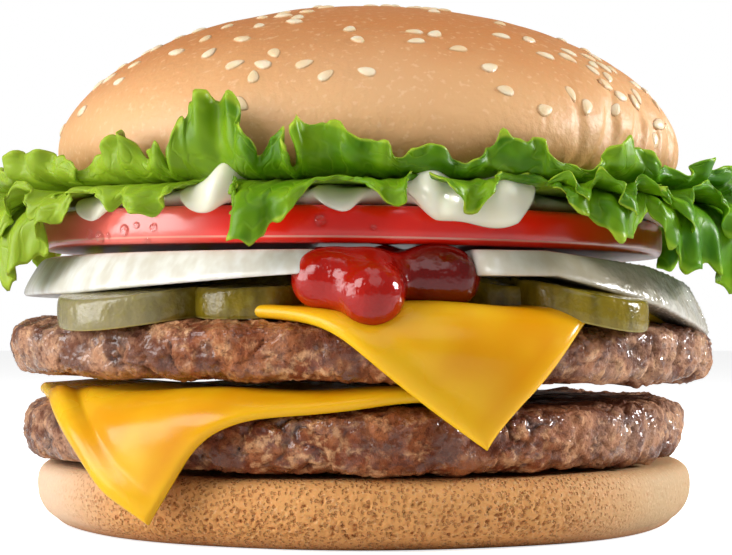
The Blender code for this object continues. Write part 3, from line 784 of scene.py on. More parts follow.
def ketchup_material():
    material, tree, shader, place = new_material("tomato ketchup")
    tone = cloudy(tree, place, 5 * MM, 2.0)
    colour = blend(tree, tone, (0.28, 0.003, 0.001), (0.50, 0.012, 0.004))
    # The back lobe, under the tomato, is darkened: painted shade.
    deep = ramp(tree, node(tree, "ShaderNodeSeparateXYZ", {0: place}).outputs[0], 3 * MM, 9 * MM, 0.0, 0.85)
    colour = blend(tree, deep, colour, (0.10, 0.002, 0.001))
    tree.links.new(colour, shader.inputs["Base Color"])
    set_shader(shader, Roughness=0.12, Subsurface_Weight=0.1, Subsurface_Radius=(1.0, 0.1, 0.05),
               Subsurface_Scale=1.0 * MM, Coat_Weight=0.45, Coat_Roughness=0.03, Specular_IOR_Level=0.3)
    grainy = maths(tree, "MULTIPLY", cloudy(tree, place, 0.5 * MM, 1.0), 0.4)
    roughen(tree, shader, maths(tree, "ADD", cloudy(tree, place, 1.7 * MM, 2.0), grainy), 0.3 * MM)
    return material


ketchup = melt_together("ketchup_squirt", KETCHUP_DROPS, 0.5 * MM, ketchup_material())
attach(ketchup, "root")
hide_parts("ketchup")

# ---------------------------------------------------------------------------------------------------------------
# Onion. Two half moons of raw white onion, wet and half clear, with fine upright fibres in the wall. The right
# one droops where nothing holds it up.
# ---------------------------------------------------------------------------------------------------------------


ONION_CELL = 0.5 * MM
ONION_FLARE = 3.7 * MM
ONION_TOP_RADIUS = 57.8 * MM
ONION_TOP = 46.5 * MM
ONIONS = {  # half moon: from and to heading of its round side, and whether its right end droops
    "onion_left": (-168.0, -6.5, False),
    "onion_right": (16.5, 172.0, True),
}


def half_moon(start, end):
    """The outline of a round slice cut along the chord between two headings, with its corners rounded."""
    heading = np.radians(np.linspace(start, end, 400))
    arc = np.stack([np.sin(heading), -np.cos(heading)], axis=-1) * ONION_TOP_RADIUS
    chord = arc[-1] + (arc[0] - arc[-1]) * np.linspace(0, 1, 300)[1:-1, None]
    loop = even_steps(np.concatenate([arc, chord, arc[:1]]), ONION_CELL)[:-1]
    width = int(4.0 * MM / ONION_CELL)
    kernel = np.ones(2 * width + 1) / (2 * width + 1)
    padded = np.concatenate([loop[-width:], loop, loop[:width]])
    return np.stack([np.convolve(padded[:, axis], kernel, mode="valid") for axis in (0, 1)], axis=-1)


def onion_heights(x, y, drooping):
    """Underside and top of a slice at x, y. The right end of a drooping one hangs over the patty's rim."""
    over = ONION_TOP - 0.3 * sag(x, y)
    if drooping:
        droop = 0.16 * (x - 46 * MM).clip(0)
        over = over - droop - 0.11 * (x - 28 * MM).clip(0)
        thickness = 4.1 * MM + 0.16 * (x - 28 * MM).clip(0)
        return np.maximum(over - thickness, bed_height(x, y) + REST_GAP - droop), over
    rise = 2.6 * MM * ((x + 45 * MM) / (35 * MM)).clip(0, 1)
    under = bed_height(x, y) + PICKLE_THICKNESS - 0.6 * MM + rise
    return np.minimum(under, over - 2.5 * MM), over


def make_onion(name, start, end, drooping, material):
    outline = half_moon(start, end)
    section = rim_section(0.9 * MM, 0.9 * MM, 4.5 * MM, 2.6, 0.3 * MM)
    caps = tuple(np.linspace(0.02, 0.97, 24))

    def heights(x, y):
        return onion_heights(x, y, drooping)

    slab = soft_slab(name + "_slice", outline.mean(axis=0), outline, section, heights, material, caps)
    spots = np.array([vertex.co[:] for vertex in slab.data.vertices])
    under, over = heights(spots[:, 0], spots[:, 1])
    share = ((over - spots[:, 2]) / (over - under)).clip(0, 1)
    near = ((np.hypot(spots[:, 0], spots[:, 1]) / ONION_TOP_RADIUS - 0.9) / 0.1).clip(0, 1)
    spots[:, :2] *= (1 + ONION_FLARE * share * near / ONION_TOP_RADIUS)[:, None]
    slab.data.vertices.foreach_set("co", spots.ravel())
    return slab


def onion_material():
    material, tree, shader, place = new_material("raw white onion")
    parts = node(tree, "ShaderNodeSeparateXYZ", {0: place}).outputs
    low = maths(tree, "MULTIPLY", parts[2], 0.08)
    tall = node(tree, "ShaderNodeCombineXYZ", {0: parts[0], 1: parts[1], 2: low}).outputs[0]
    fibres = cloudy(tree, tall, 1.6 * MM, 2.0)
    colour = blend(tree, ramp(tree, fibres, 0.3, 0.7), (0.72, 0.68, 0.58), (0.86, 0.86, 0.80))
    # Darker on the right slice: partly its clear flesh showing what lies behind, partly painted shade; its far end is
    # kept lighter, which is painted light for its glints.
    glassy = maths(tree, "MULTIPLY", ramp(tree, parts[0], 12 * MM, 30 * MM), ramp(tree, parts[0], 42 * MM, 54 * MM, 1.0, 0.4))
    colour = blend(tree, maths(tree, "MULTIPLY", glassy, 0.8), colour, (0.29, 0.24, 0.15))
    tree.links.new(colour, shader.inputs["Base Color"])
    set_shader(shader, Roughness=0.25, Subsurface_Weight=0.45, Subsurface_Radius=(1.0, 1.0, 0.9),
               Subsurface_Scale=2.5 * MM, Coat_Weight=0.3, Coat_Roughness=0.1)
    wet = ramp(tree, parts[0], 30 * MM, 44 * MM, 1.0, 6.0)
    roughen(tree, shader, maths(tree, "MULTIPLY", cloudy(tree, place, 1.0 * MM, 2.0), wet), 0.08 * MM)
    return material


onion = onion_material()
for onion_name, cut in ONIONS.items():
    half = make_onion(onion_name, *cut, onion)
    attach(half, "root")
    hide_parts(onion_name)

# ---------------------------------------------------------------------------------------------------------------
# Tomato. One thick slice across a large ripe tomato: glossy skin round the side, a thin pale line where the
# knife cut the skin, which is a painted highlight, and beads of water.
# ---------------------------------------------------------------------------------------------------------------


def tomato_material():
    material, tree, shader, place = new_material("ripe tomato")
    tone = cloudy(tree, place, 12 * MM, 2.0)
    colour = blend(tree, tone, (0.82, 0.007, 0.0005), (0.95, 0.016, 0.001))
    # Darker and more orange towards the right: a riper tint and painted shade.
    ripe = ramp(tree, node(tree, "ShaderNodeSeparateXYZ", {0: place}).outputs[0], 26 * MM, 44 * MM)
    colour = blend(tree, maths(tree, "MULTIPLY", ripe, 0.85), colour, (0.42, 0.075, 0.001))
    # Pinkish pale towards the left: a painted reflection on the skin.
    pale = ramp(tree, node(tree, "ShaderNodeSeparateXYZ", {0: place}).outputs[0], -20 * MM, -34 * MM)
    colour = blend(tree, maths(tree, "MULTIPLY", pale, 0.6), colour, (0.92, 0.26, 0.21))
    level = node(tree, "ShaderNodeAttribute", attribute_name="level").outputs["Fac"]
    # A thin pale band where the knife cut the skin: a painted highlight.
    cut_skin = maths(tree, "MULTIPLY", ramp(tree, level, 0.12, 0.15), ramp(tree, level, 0.20, 0.17))
    colour = blend(tree, maths(tree, "MULTIPLY", cut_skin, 0.7), colour, (0.90, 0.42, 0.30))
    tree.links.new(colour, shader.inputs["Base Color"])
    set_shader(shader, Roughness=0.3, Subsurface_Weight=0.1, Subsurface_Radius=(1.0, 0.1, 0.05),
               Subsurface_Scale=1.2 * MM, Specular_IOR_Level=0.1, Coat_Weight=1.0, Coat_Roughness=0.2, Coat_IOR=1.6)
    roughen(tree, shader, cloudy(tree, place, 3.0 * MM, 2.0), 0.10 * MM)
    return material


tomato = tomato_material()
tomato_slice = round_slab("tomato_slice", "tomato", 1.3 * MM, 1.3 * MM, 3.0, 0.5 * MM, tomato)
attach(tomato_slice, "root")
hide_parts("tomato")

# ---------------------------------------------------------------------------------------------------------------
# Mayonnaise. A thick ivory spread on the tomato slice, pressed out into lobes that hang over the slice's rim.
# ---------------------------------------------------------------------------------------------------------------


MAYO_LOBES = (  # heading and half width in degrees, further reach and further thickness in millimetres
    (-49, 9, 7.6, -0.6), (-24, 9, 7.7, 0.6), (-18, 4.5, 0.3, 3.6), (-2.5, 6.0, 7.0, 0.4), (20.5, 14, 8.6, 0.6),
    (10.5, 5, 0.3, 3.6), (28.5, 6.5, 0.4, 3.4), (75, 14, 7.0, 1.0), (128, 15, 7.5, 1.4), (176, 18, 7.0, 1.0),
    (228, 16, 7.5, 1.4),
)
MAYO_INSET = 6.5 * MM  # from the tomato's rim, where there is no lobe
MAYO_THICKNESS = 2.8 * MM
MAYO_BEND = 2.4 * MM
MAYO_RIM = 3.4 * MM


def mayonnaise_material():
    material, tree, shader, place = new_material("mayonnaise")
    tone = cloudy(tree, place, 8 * MM, 2.0)
    colour = blend(tree, tone, (0.90, 0.84, 0.64), (0.94, 0.91, 0.77))
    tree.links.new(colour, shader.inputs["Base Color"])
    set_shader(shader, Roughness=0.2, Subsurface_Weight=0.4, Subsurface_Radius=(1.0, 0.8, 0.5),
               Subsurface_Scale=1.5 * MM)
    return material


def make_mayonnaise(material):
    """Rings from the middle of the spread's underside, round its edge and back over its top."""
    tomato_layer = read_layer("tomato")
    heading = np.linspace(0, math.tau, 640, endpoint=False)
    ripple = 0.6 * MM * np.sin(11 * heading) * np.sin(5 * heading + 1) + 0.35 * MM * np.sin(31 * heading + 2)
    reach = tomato_layer.radius(heading) - MAYO_INSET + ripple
    thickness = MAYO_THICKNESS * (1 + 0.14 * np.sin(7 * heading) * np.sin(3 * heading + 1))
    for centre, half_width, further, thicker in MAYO_LOBES:
        turn = (np.degrees(heading) - centre + 180) % 360 - 180
        lobe = np.exp(-(np.abs(turn / half_width) ** 3))
        reach += further * MM * lobe
        thickness += thicker * MM * lobe
    flat = np.linspace(0.02, 0.98, 44)
    rows = [(share, MAYO_RIM, 0.0) for share in flat]
    rows += [(1.0, MAYO_RIM * inset, level) for inset, level in rim_section(1.0, 1.0, 1.0, 2.0, 0.05)]
    rows += [(share, MAYO_RIM, 1.0) for share in flat[::-1]]
    rings = []
    for share, inset, level in rows:
        run = (reach - inset) * share
        lumps = 1 + 0.22 * np.sin(run / (2.6 * MM) + 4 * np.sin(5 * heading)) * np.sin(17 * heading + run / (3 * MM))
        lift = 0.2 * MM + thickness * level * (lumps if level > 0.5 else 1.0)
        rings.append(drape(tomato_layer, heading, 0.0, run, lift, MAYO_BEND, 0.2 * MM))
    points, faces = turn_skin(np.array(rings))
    return build_mesh("mayonnaise_spread", points, faces, material)


spread = make_mayonnaise(mayonnaise_material())
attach(spread, "root")
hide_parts("mayonnaise")

# ---------------------------------------------------------------------------------------------------------------
# Lettuce. Frilled leaves of green lettuce under the crown, two or three sheets thick. The border of the upper
# sheet stands up against the bun in pointed crests, that of the lower one hangs over mayonnaise and tomato.
# ---------------------------------------------------------------------------------------------------------------
LEAF_INNER = 40 * MM
LEAF_ROOT = 53.5 * MM
LEAF_HEIGHT = 57.4 * MM
LEAF_THICKNESS = 0.5 * MM
LEAF_ROWS = 36
LEAF_CELL = 0.5 * MM
FRONT_CREST = (  # heading in degrees, rise and reach of the border in millimetres
    (-58, 2, 60), (-51, 2.7, 59), (-45.5, 6.2, 58.5), (-39.8, 8.6, 60.5), (-34.8, 3.2, 59.5), (-32.4, 6.4, 61),
    (-30.6, 1.6, 59), (-30.4, 6.2, 60.5), (-28.6, 8.6, 59.5), (-27.6, 12.2, 60.5), (-25.0, 13.8, 58.5),
    (-23.2, 12.0, 57.5), (-21.4, 13.4, 59), (-19.4, 12.2, 60.5), (-19.8, 8.8, 59.5), (-17.2, 6.6, 61),
    (-16.2, 2.6, 59.5), (-12.5, 8.2, 60.5), (-11, 2.8, 59.5), (-10.4, 0.6, 59.5),
    (-9.8, 9, 61), (-7, 8.2, 59), (-4.9, 8.4, 58.5), (-1.3, 5.7, 59.5), (2.9, 5.2, 60), (5.3, 2.4, 57.5),
    (7, 4.3, 57.2), (10.5, 5.3, 58.2), (13.5, 3.2, 58.5), (15.4, 1.6, 58.2), (18.5, 4.2, 57.2), (21.6, 7.1, 58.4),
    (25, 5.8, 57.2), (28.2, 7.0, 58.8), (29.8, 2.6, 59), (32, 2.4, 60), (35, 1, 60),
)
FRONT_HANGING = (
    (-58, -3, 63), (-54.5, -4, 63.5), (-52.8, -6, 64.5), (-51.4, -1.4, 62), (-48, -0.9, 61.5), (-45, -1.5, 62),
    (-43.4, -1, 61.5), (-41.4, -2.2, 63), (-39.6, -4.8, 63.5), (-37, -1.6, 62.5), (-34.2, -5, 63.5),
    (-31, -5.8, 63.5), (-29, -2.4, 62.5), (-28, 0.4, 57.5), (-21.4, 0.8, 56.5), (-19.4, 0, 58.5),
    (-18.6, -2.4, 62.5), (-19.2, -6, 63.5), (-17.4, -10, 64.5), (-14.6, -10.6, 65), (-13.4, -7, 64),
    (-10.4, -5.8, 64), (-8.2, -1.8, 63), (-7.2, -0.2, 61.5), (-4, 0.2, 61), (-1.2, -0.3, 61.5), (1.4, -2.4, 63),
    (4, -5, 64), (5.8, -4, 63.5), (5.4, -0.8, 62), (6.2, 1, 57.5), (9.6, 1.2, 57.5), (10.4, 0.6, 61.5),
    (12.2, -3.2, 64), (14.8, -5.8, 64.5), (16.8, -3.6, 64), (19.0, 0.4, 62), (20.2, 1.4, 57.5), (28.2, 1.2, 57),
    (29.2, -1, 61.5), (30, -4, 63), (32, -2, 62), (35, -2, 62),
)
RIGHT_CREST = (
    (30, 1, 60), (33, 2.4, 60), (35.4, 1.4, 60.5), (37.8, 5.0, 61.5), (43, 7.2, 62.5), (47.5, 4.6, 61.5),
    (50, 2, 60.5), (54, 3.6, 62), (57, 1.6, 61.5), (61, 5.2, 64), (66, 3.4, 63), (70, 4.4, 65.5), (76, 2.4, 64),
    (83, 3.6, 66), (90, 1.4, 64),
)
RIGHT_HANGING = (
    (29, -2, 62), (30.4, -5, 63.5), (33.4, -5.8, 64), (36.5, -8.6, 64.5), (39.8, -9.2, 65), (42.4, -6, 64),
    (44.5, -3, 63), (47.4, -9.4, 65.5), (50.6, -12.4, 65), (52.8, -14.6, 66), (56, -11.6, 66.5), (60.6, -14.8, 66),
    (66, -15.4, 67), (71, -11, 67.5), (77, -14, 67), (84, -10, 67), (92, -12, 66),
)
RIGHT_OUTER = (
    (27.5, 0, 60.5), (29.5, 2.6, 62.5), (31.2, -3, 64.5), (33.6, -1, 63), (35.2, 3.2, 64), (37.4, -2.4, 66),
    (39.6, -5.6, 66), (41, 0, 64), (43.4, 2.8, 64.5), (45.4, -3.4, 66.5), (47.5, 1.5, 64), (50, -5, 65.5), (53, -7, 66.5), (55.5, 1, 64), (59, 2.4, 66), (62, -6, 68),
    (66, -8, 68), (69, 1.4, 66.5), (74, 1, 68), (77, -7, 68.5), (83, -6, 68), (87, 1, 66.5), (92, -2, 66),
)
LEFT_CREST = (
    (268, 1, 63), (274, 3, 65), (279, 1.6, 64.5), (284, 4.8, 66), (288, 3.2, 64.5), (293, 6.6, 64), (297, 4.2, 63),
    (300.5, 6.6, 62.5), (304, 4.6, 61.5), (307, 5, 61.5), (310, 2.4, 60.5),
)
LEFT_HANGING = (
    (268, -12, 66), (273, -10, 67), (279, -14, 67.5), (285, -10.6, 67.5), (290, -11.6, 67), (294.5, -14.6, 67),
    (298.5, -15.6, 66.5), (302, -12, 65.5), (304.5, -10.8, 65), (306.5, -6, 64.5), (309.5, -5.8, 64), (312, -2, 63),
)
LEFT_OUTER = (
    (268, -2, 66), (273, 1, 67), (277, -7, 68.5), (282, -6, 68.5), (286, 2, 67), (290, 1.6, 68), (293, -7, 68),
    (297, -8, 67.5), (299.5, 2.4, 66), (303, 1, 66), (305, -5, 65.5), (308, -1, 63.5),
)


def smoothed(values, width):
    """A run of numbers with its corners rounded over the given number of steps."""
    reach = int(3 * width)
    kernel = np.exp(-0.5 * (np.arange(-reach, reach + 1) / width) ** 2)
    padded = np.pad(values, reach, mode="edge")
    return np.convolve(padded, kernel / kernel.sum(), mode="valid")


def wavy(along, length, seed, layers=3):
    """Uneven waves between about -1 and 1 of about the given length."""
    phases = np.random.default_rng(seed).uniform(0, math.tau, 2 * layers)
    total = np.zeros_like(along)
    for layer in range(layers):
        stretch = 1 + 0.31 * layer
        drift = 0.9 * np.sin(along / (length * 2.7) + phases[layer + layers])
        total += np.sin(math.tau * along / (length * stretch) + phases[layer] + drift)
    return total / layers * 1.3


def border_line(border):
    """The leaf's border in even steps along it: distance, heading, rise and reach."""
    points = np.array(border, float) * (math.pi / 180, MM, MM)
    for spacing, rounding in ((0.1 * MM, 0.75 * MM), (LEAF_CELL, None)):
        heading, rise, reach = points.T
        line = np.stack([reach * np.sin(heading), -reach * np.cos(heading), rise], axis=-1)
        lengths = np.concatenate([[0], np.cumsum(np.linalg.norm(np.diff(line, axis=0), axis=1))])
        along = np.linspace(0, lengths[-1], int(lengths[-1] / spacing))
        points = np.stack([np.interp(along, lengths, column) for column in points.T], axis=-1)
        if rounding:
            points = np.stack([smoothed(column, rounding / spacing) for column in points.T], axis=-1)
    return along, *points.T


def leaf_surface(border, seed):
    """Rows of points from under the crown out to the frilled border."""
    along, heading, rise, reach = border_line(border)
    root_heading = smoothed(heading, 12 * MM / LEAF_CELL)
    out = np.linspace(0, 1, LEAF_ROWS)[:, None]
    share = ((out - 0.15) / 0.85).clip(0, 1)
    inward = LEAF_INNER + (LEAF_ROOT - LEAF_INNER) * (out / 0.15).clip(0, 1)
    ragged = 1 + (0.04 * wavy(along, 6.5 * MM, seed) + 0.035 * wavy(along, 2.9 * MM, seed + 1)) * share
    share = share * ragged
    pleats = 1.3 * MM * wavy(along, 9 * MM, seed + 7) * share.clip(0, 1)
    radius = inward + (reach + pleats - LEAF_ROOT) * np.sin((share * 1.35).clip(0, 1) * math.pi / 2)
    height = LEAF_HEIGHT + rise * share**1.7
    turn = root_heading + (heading - root_heading) * share**0.5
    surface = np.stack([radius * np.sin(turn), -radius * np.cos(turn), height], axis=-1)
    normal = np.cross(np.gradient(surface, axis=1), np.gradient(surface, axis=0))
    normal /= np.linalg.norm(normal, axis=-1, keepdims=True).clip(1e-12)
    ruffle = 1.1 * wavy(along, 5.5 * MM, seed + 2) * share**3 + 0.35 * wavy(along, 2.4 * MM, seed + 3) * share**6
    blister = 0.2 * wavy(along + 9 * MM * share, 4.5 * MM, seed + 4) * np.sin(share * 9.0)
    return surface + normal * ((ruffle + blister) * MM)[..., None], along, share


def lettuce_material():
    material, tree, shader, place = new_material("green lettuce")
    out = node(tree, "ShaderNodeAttribute", attribute_name="out").outputs["Fac"]
    along = node(tree, "ShaderNodeAttribute", attribute_name="along").outputs["Fac"]
    tone = cloudy(tree, place, 6 * MM, 2.0)
    colour = blend(tree, ramp(tree, tone, 0.3, 0.7), (0.055, 0.18, 0.001), (0.21, 0.38, 0.006))
    leaf_place = node(tree, "ShaderNodeCombineXYZ", {0: along, 1: maths(tree, "MULTIPLY", out, 12 * MM)}).outputs[0]
    veins = groove(tree, cloudy(tree, warp(tree, leaf_place, 3 * MM, 2 * MM), 3.2 * MM, 1.0), 0.05)
    colour = blend(tree, maths(tree, "MULTIPLY", veins, 0.22), colour, (0.26, 0.44, 0.02))
    rim = ramp(tree, out, 0.93, 1.0)
    colour = blend(tree, maths(tree, "MULTIPLY", rim, 0.7), colour, (0.44, 0.56, 0.04))
    colour = blend(tree, ramp(tree, out, 0.45, 0.05, 0.0, 0.6), colour, (0.26, 0.42, 0.03))
    across = node(tree, "ShaderNodeSeparateXYZ", {0: place}).outputs[0]
    # Brighter and yellower towards the left: painted light.
    young = ramp(tree, across, -14 * MM, -50 * MM, 0.0, 0.75)
    colour = blend(tree, young, colour, (0.34, 0.46, 0.03))
    # Darker, deeper green towards the right: painted shade.
    dark = ramp(tree, across, 34 * MM, 56 * MM, 0.0, 0.55)
    colour = blend(tree, dark, colour, blend(tree, 1.0, colour, (0.45, 0.85, 0.1), "MULTIPLY"))
    tree.links.new(colour, shader.inputs["Base Color"])
    set_shader(shader, Roughness=0.36, Subsurface_Weight=0.3, Subsurface_Radius=(0.5, 1.0, 0.05),
               Subsurface_Scale=0.8 * MM, Specular_IOR_Level=0.2)
    height = maths(tree, "SUBTRACT", cloudy(tree, place, 2.0 * MM, 2.0), maths(tree, "MULTIPLY", veins, 0.3))
    roughen(tree, shader, height, 0.25 * MM)
    return material


def back_border(first, last, rises, reaches, seed):
    """An uneven border between two headings, for the leaves that lie at the sides and back."""
    draw = np.random.default_rng(seed)
    border, heading, high = [], first, True
    while heading < last:
        rise = draw.uniform(*rises) if high else draw.uniform(*rises) - 5
        border.append((heading, rise, draw.uniform(*reaches)))
        heading += draw.uniform(3.0, 5.5)
        high = not high
    return tuple(border)


LEAVES = {  # leaf: borders of its sheets
    "lettuce_front": (FRONT_CREST, FRONT_HANGING),
    "lettuce_right": (
        RIGHT_CREST + back_border(96, 164, (3, 8), (60, 62), 5),
        RIGHT_HANGING + back_border(98, 164, (-8, -2), (62, 64.5), 6),
        RIGHT_OUTER,
    ),
    "lettuce_left": (
        back_border(158, 262, (3, 8), (60, 62), 8) + LEFT_CREST,
        back_border(158, 262, (-8, -2), (62, 64.5), 9) + LEFT_HANGING,
        LEFT_OUTER,
    ),
}


def leaf_sheet(border, seed, drop):
    surface, along, share = leaf_surface(border, seed)
    surface[..., 2] -= drop
    depth = LEAF_THICKNESS * (1.3 - 0.7 * share)
    edge = (1 - np.linspace(0, 1, LEAF_ROWS)[:, None]) * 14 * MM + 0 * along
    edge[:, 0] = edge[:, -1] = 0.0
    edge[0] = 0.0
    return sheet_parts(surface, depth, edge, {"out": share + 0 * along, "along": along + 0 * share})


def make_leaf(name, borders, seed, material):
    """Joins a leaf's sheets, each a little below the one before."""
    sheets = [leaf_sheet(border, seed + 20 * at, at * LEAF_THICKNESS) for at, border in enumerate(borders)]
    starts = np.cumsum([0] + [len(points) for points, _, _ in sheets])
    points = np.concatenate([points for points, _, _ in sheets])
    faces = np.concatenate([faces + start for (_, faces, _), start in zip(sheets, starts)])
    marks = {mark: np.concatenate([kept[mark] for _, _, kept in sheets]) for mark in ("out", "along")}
    return build_mesh(name + "_leaf", points, faces, material, marks)


lettuce = lettuce_material()
for leaf_seed, (leaf_name, leaf_borders) in enumerate(LEAVES.items()):
    leaf = make_leaf(leaf_name, leaf_borders, 100 * leaf_seed, lettuce)
    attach(leaf, "root")
    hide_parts(leaf_name)

# ---------------------------------------------------------------------------------------------------------------
# Bun crown. The domed top of a soft wheat bun, glazed and baked golden brown, paler low on its flanks, with a few
# dents and creases. Sesame seeds are stuck in the glaze, closest together on the right shoulder.
# ---------------------------------------------------------------------------------------------------------------
CROWN_CELL = 0.62 * MM
CROWN_SQUARENESS = 1.88
CROWN_CUT_SHARE = 0.92
CROWN_WIDEST = 65.5 * MM
CROWN_RELIEF = {"Swell": 1.5, "Bump height": 0.5, "Crease depth": 0.9, "Grain height": 0.10, "Shrinkage": 0.7}


def crust_tree():
    """Soft swells and bumps of a baked dome, and creases where its right flank was pressed."""
    tree, given, last = geometry_tree("Baked dome", tuple(CROWN_RELIEF))
    place = node(tree, "GeometryNodeInputPosition").outputs[0]
    parts = node(tree, "ShaderNodeSeparateXYZ", {0: place}).outputs
    swell = maths(tree, "SUBTRACT", cloudy(tree, place, 26 * MM, 1.0), 0.5)
    bumps = maths(tree, "SUBTRACT", cloudy(tree, warp(tree, place, 8 * MM, 4 * MM), 5 * MM, 1.0), 0.5)
    grain = maths(tree, "SUBTRACT", cloudy(tree, place, 1.1 * MM, 2.0, 0.6), 0.5)
    heading = maths(tree, "ARCTAN2", parts[0], maths(tree, "MULTIPLY", parts[1], -1.0))
    around = maths(tree, "MULTIPLY_ADD", parts[2], -0.3, maths(tree, "MULTIPLY", heading, 50 * MM))
    folded = node(tree, "ShaderNodeCombineXYZ", {0: around, 1: maths(tree, "MULTIPLY", parts[2], 0.3)}).outputs[0]
    creases = groove(tree, cloudy(tree, warp(tree, folded, 6 * MM, 2 * MM), 4.0 * MM, 1.0), 0.09)
    pressed = maths(tree, "MULTIPLY", ramp(tree, heading, 0.45, 0.9), ramp(tree, heading, 1.7, 2.1, 1.0, 0.0))
    pressed = maths(tree, "MULTIPLY", pressed, ramp(tree, parts[2], 78 * MM, 68 * MM))
    height = maths(tree, "MULTIPLY", swell, given["Swell"])
    height = maths(tree, "MULTIPLY_ADD", bumps, given["Bump height"], height)
    height = maths(tree, "MULTIPLY_ADD", grain, given["Grain height"], height)
    sunk = maths(tree, "MULTIPLY", maths(tree, "MULTIPLY", creases, pressed), given["Crease depth"])
    height = maths(tree, "SUBTRACT", height, sunk)
    finish_tree(tree, offset_along_normal(tree, given["Geometry"], height, given["Shrinkage"]), given, last)
    return tree


def crust_material():
    material, tree, shader, place = new_material("golden crust")
    parts = node(tree, "ShaderNodeSeparateXYZ", {0: place}).outputs
    tone = cloudy(tree, place, 18 * MM, 2.0)
    rise = maths(tree, "MULTIPLY_ADD", maths(tree, "SUBTRACT", tone, 0.5), 14 * MM, parts[2])
    colour = blend(tree, ramp(tree, rise, 66 * MM, 86 * MM), (0.775, 0.435, 0.193), (0.59, 0.215, 0.054))
    caramel = ramp(tree, parts[2], 66 * MM, 60 * MM)
    colour = blend(tree, maths(tree, "MULTIPLY", caramel, 0.6), colour, (0.50, 0.21, 0.05))
    specks = ramp(tree, cloudy(tree, place, 0.7 * MM, 2.0), 0.58, 0.72)
    colour = blend(tree, maths(tree, "MULTIPLY", specks, 0.35), colour, (0.92, 0.62, 0.36))
    tree.links.new(colour, shader.inputs["Base Color"])
    set_shader(shader, Roughness=0.48, Subsurface_Weight=0.1, Subsurface_Scale=1.0 * MM)
    roughen(tree, shader, cloudy(tree, place, 0.8 * MM, 3.0), 0.18 * MM)
    return material


def make_crown(material):
    layer = read_layer("top_bun")
    base = layer.radius(0.0)
    cut = base * CROWN_CUT_SHARE
    under = np.linspace(0, math.pi / 2, 40)
    lower_out, lower_up = cut + (base - cut) * np.sin(under), 1 - np.cos(under)
    lower = np.stack([lower_out, layer.bottom + (CROWN_WIDEST - layer.bottom) * lower_up], axis=-1)
    over = np.linspace(0, math.pi / 2 - 0.004, 400)
    power = 2 / CROWN_SQUARENESS
    upper_up = np.sin(over) ** power
    upper = np.stack([base * np.cos(over) ** power, CROWN_WIDEST + (layer.top - CROWN_WIDEST) * upper_up], axis=-1)
    flat = np.stack([np.linspace(0.05, 1, 12)[:-1] * cut, np.full(11, layer.bottom)], axis=-1)
    profile = np.concatenate([flat, even_steps(np.concatenate([lower, upper[1:]]), CROWN_CELL)])
    heading = np.arange(0, math.tau, CROWN_CELL / base)
    reach = profile[:, :1] * layer.radius(heading) / base
    x, y = layer.x + reach * np.sin(heading), layer.y - reach * np.cos(heading)
    points, faces = turn_skin(np.stack([x, y, np.broadcast_to(profile[:, 1:], reach.shape)], axis=-1))
    return build_mesh("crown", points, faces, material)


SEED_SEGMENTS = 14
SEED_RINGS = 7
SEED_DENSITY = 100000.0  # for each square metre where they lie closest
SEED_SPACING = 2.9 * MM
CROWDED_SPOT = (41 * MM, -30 * MM, 76 * MM)


def drop_shape(tree, half_length, half_width, half_height, taper, sinkage):
    """A small round body, pointed towards +X, that lies on the surface and is sunk into it a little."""
    ball = node(tree, "GeometryNodeMeshUVSphere", {"Segments": SEED_SEGMENTS, "Rings": SEED_RINGS, "Radius": 1.0})
    place = node(tree, "GeometryNodeInputPosition").outputs[0]
    marked = node(
        tree, "GeometryNodeStoreNamedAttribute",
        {"Geometry": ball.outputs[0], "Name": "level", "Value": node(tree, "ShaderNodeSeparateXYZ", {0: place}).outputs[2]},
        data_type="FLOAT", domain="POINT",
    ).outputs[0]
    parts = node(tree, "ShaderNodeSeparateXYZ", {0: place}).outputs
    narrowing = maths(tree, "MULTIPLY_ADD", parts[0], -taper, 1.0)
    shaped = node(tree, "ShaderNodeCombineXYZ", {
        0: maths(tree, "MULTIPLY", parts[0], half_length),
        1: maths(tree, "MULTIPLY", maths(tree, "MULTIPLY", parts[1], half_width), narrowing),
        2: maths(tree, "MULTIPLY_ADD", parts[2], half_height, -sinkage),
    }).outputs[0]
    return node(tree, "GeometryNodeSetPosition", {"Geometry": marked, "Position": shaped}).outputs[0]


def scatter_tree(name, body, share, density, spacing, smallest, largest):
    """Small bodies strewn over a surface. Share tells where, from 0 for none to 1 for the closest."""
    tree, given, last = geometry_tree(name, ("Scatter seed",))
    whole = maths(tree, "ROUND", given["Scatter seed"])
    spots = node(
        tree, "GeometryNodeDistributePointsOnFaces",
        {"Mesh": given["Geometry"], "Distance Min": spacing, "Density Max": density, "Density Factor": share(tree),
         "Seed": whole},
        distribute_method="POISSON",
    )
    spin = node(tree, "FunctionNodeRandomValue", {2: 0.0, 3: math.tau, "Seed": 5}, data_type="FLOAT")
    turn = node(tree, "FunctionNodeAxisAngleToRotation", {"Axis": (0.0, 0.0, 1.0), "Angle": spin.outputs[1]})
    facing = node(
        tree, "FunctionNodeRotateRotation", {0: spots.outputs["Rotation"], 1: turn.outputs[0]}, rotation_space="LOCAL"
    )
    size = node(tree, "FunctionNodeRandomValue", {2: smallest, 3: largest, "Seed": 6}, data_type="FLOAT")
    strewn = node(
        tree, "GeometryNodeInstanceOnPoints",
        {"Points": spots.outputs["Points"], "Instance": body(tree), "Rotation": facing.outputs[0],
         "Scale": size.outputs[1]},
    )
    finish_tree(tree, strewn.outputs[0], given, last)
    return tree


def seed_body(tree):
    return drop_shape(tree, 1.70 * MM, 1.08 * MM, 0.52 * MM, 0.36, 0.10 * MM)


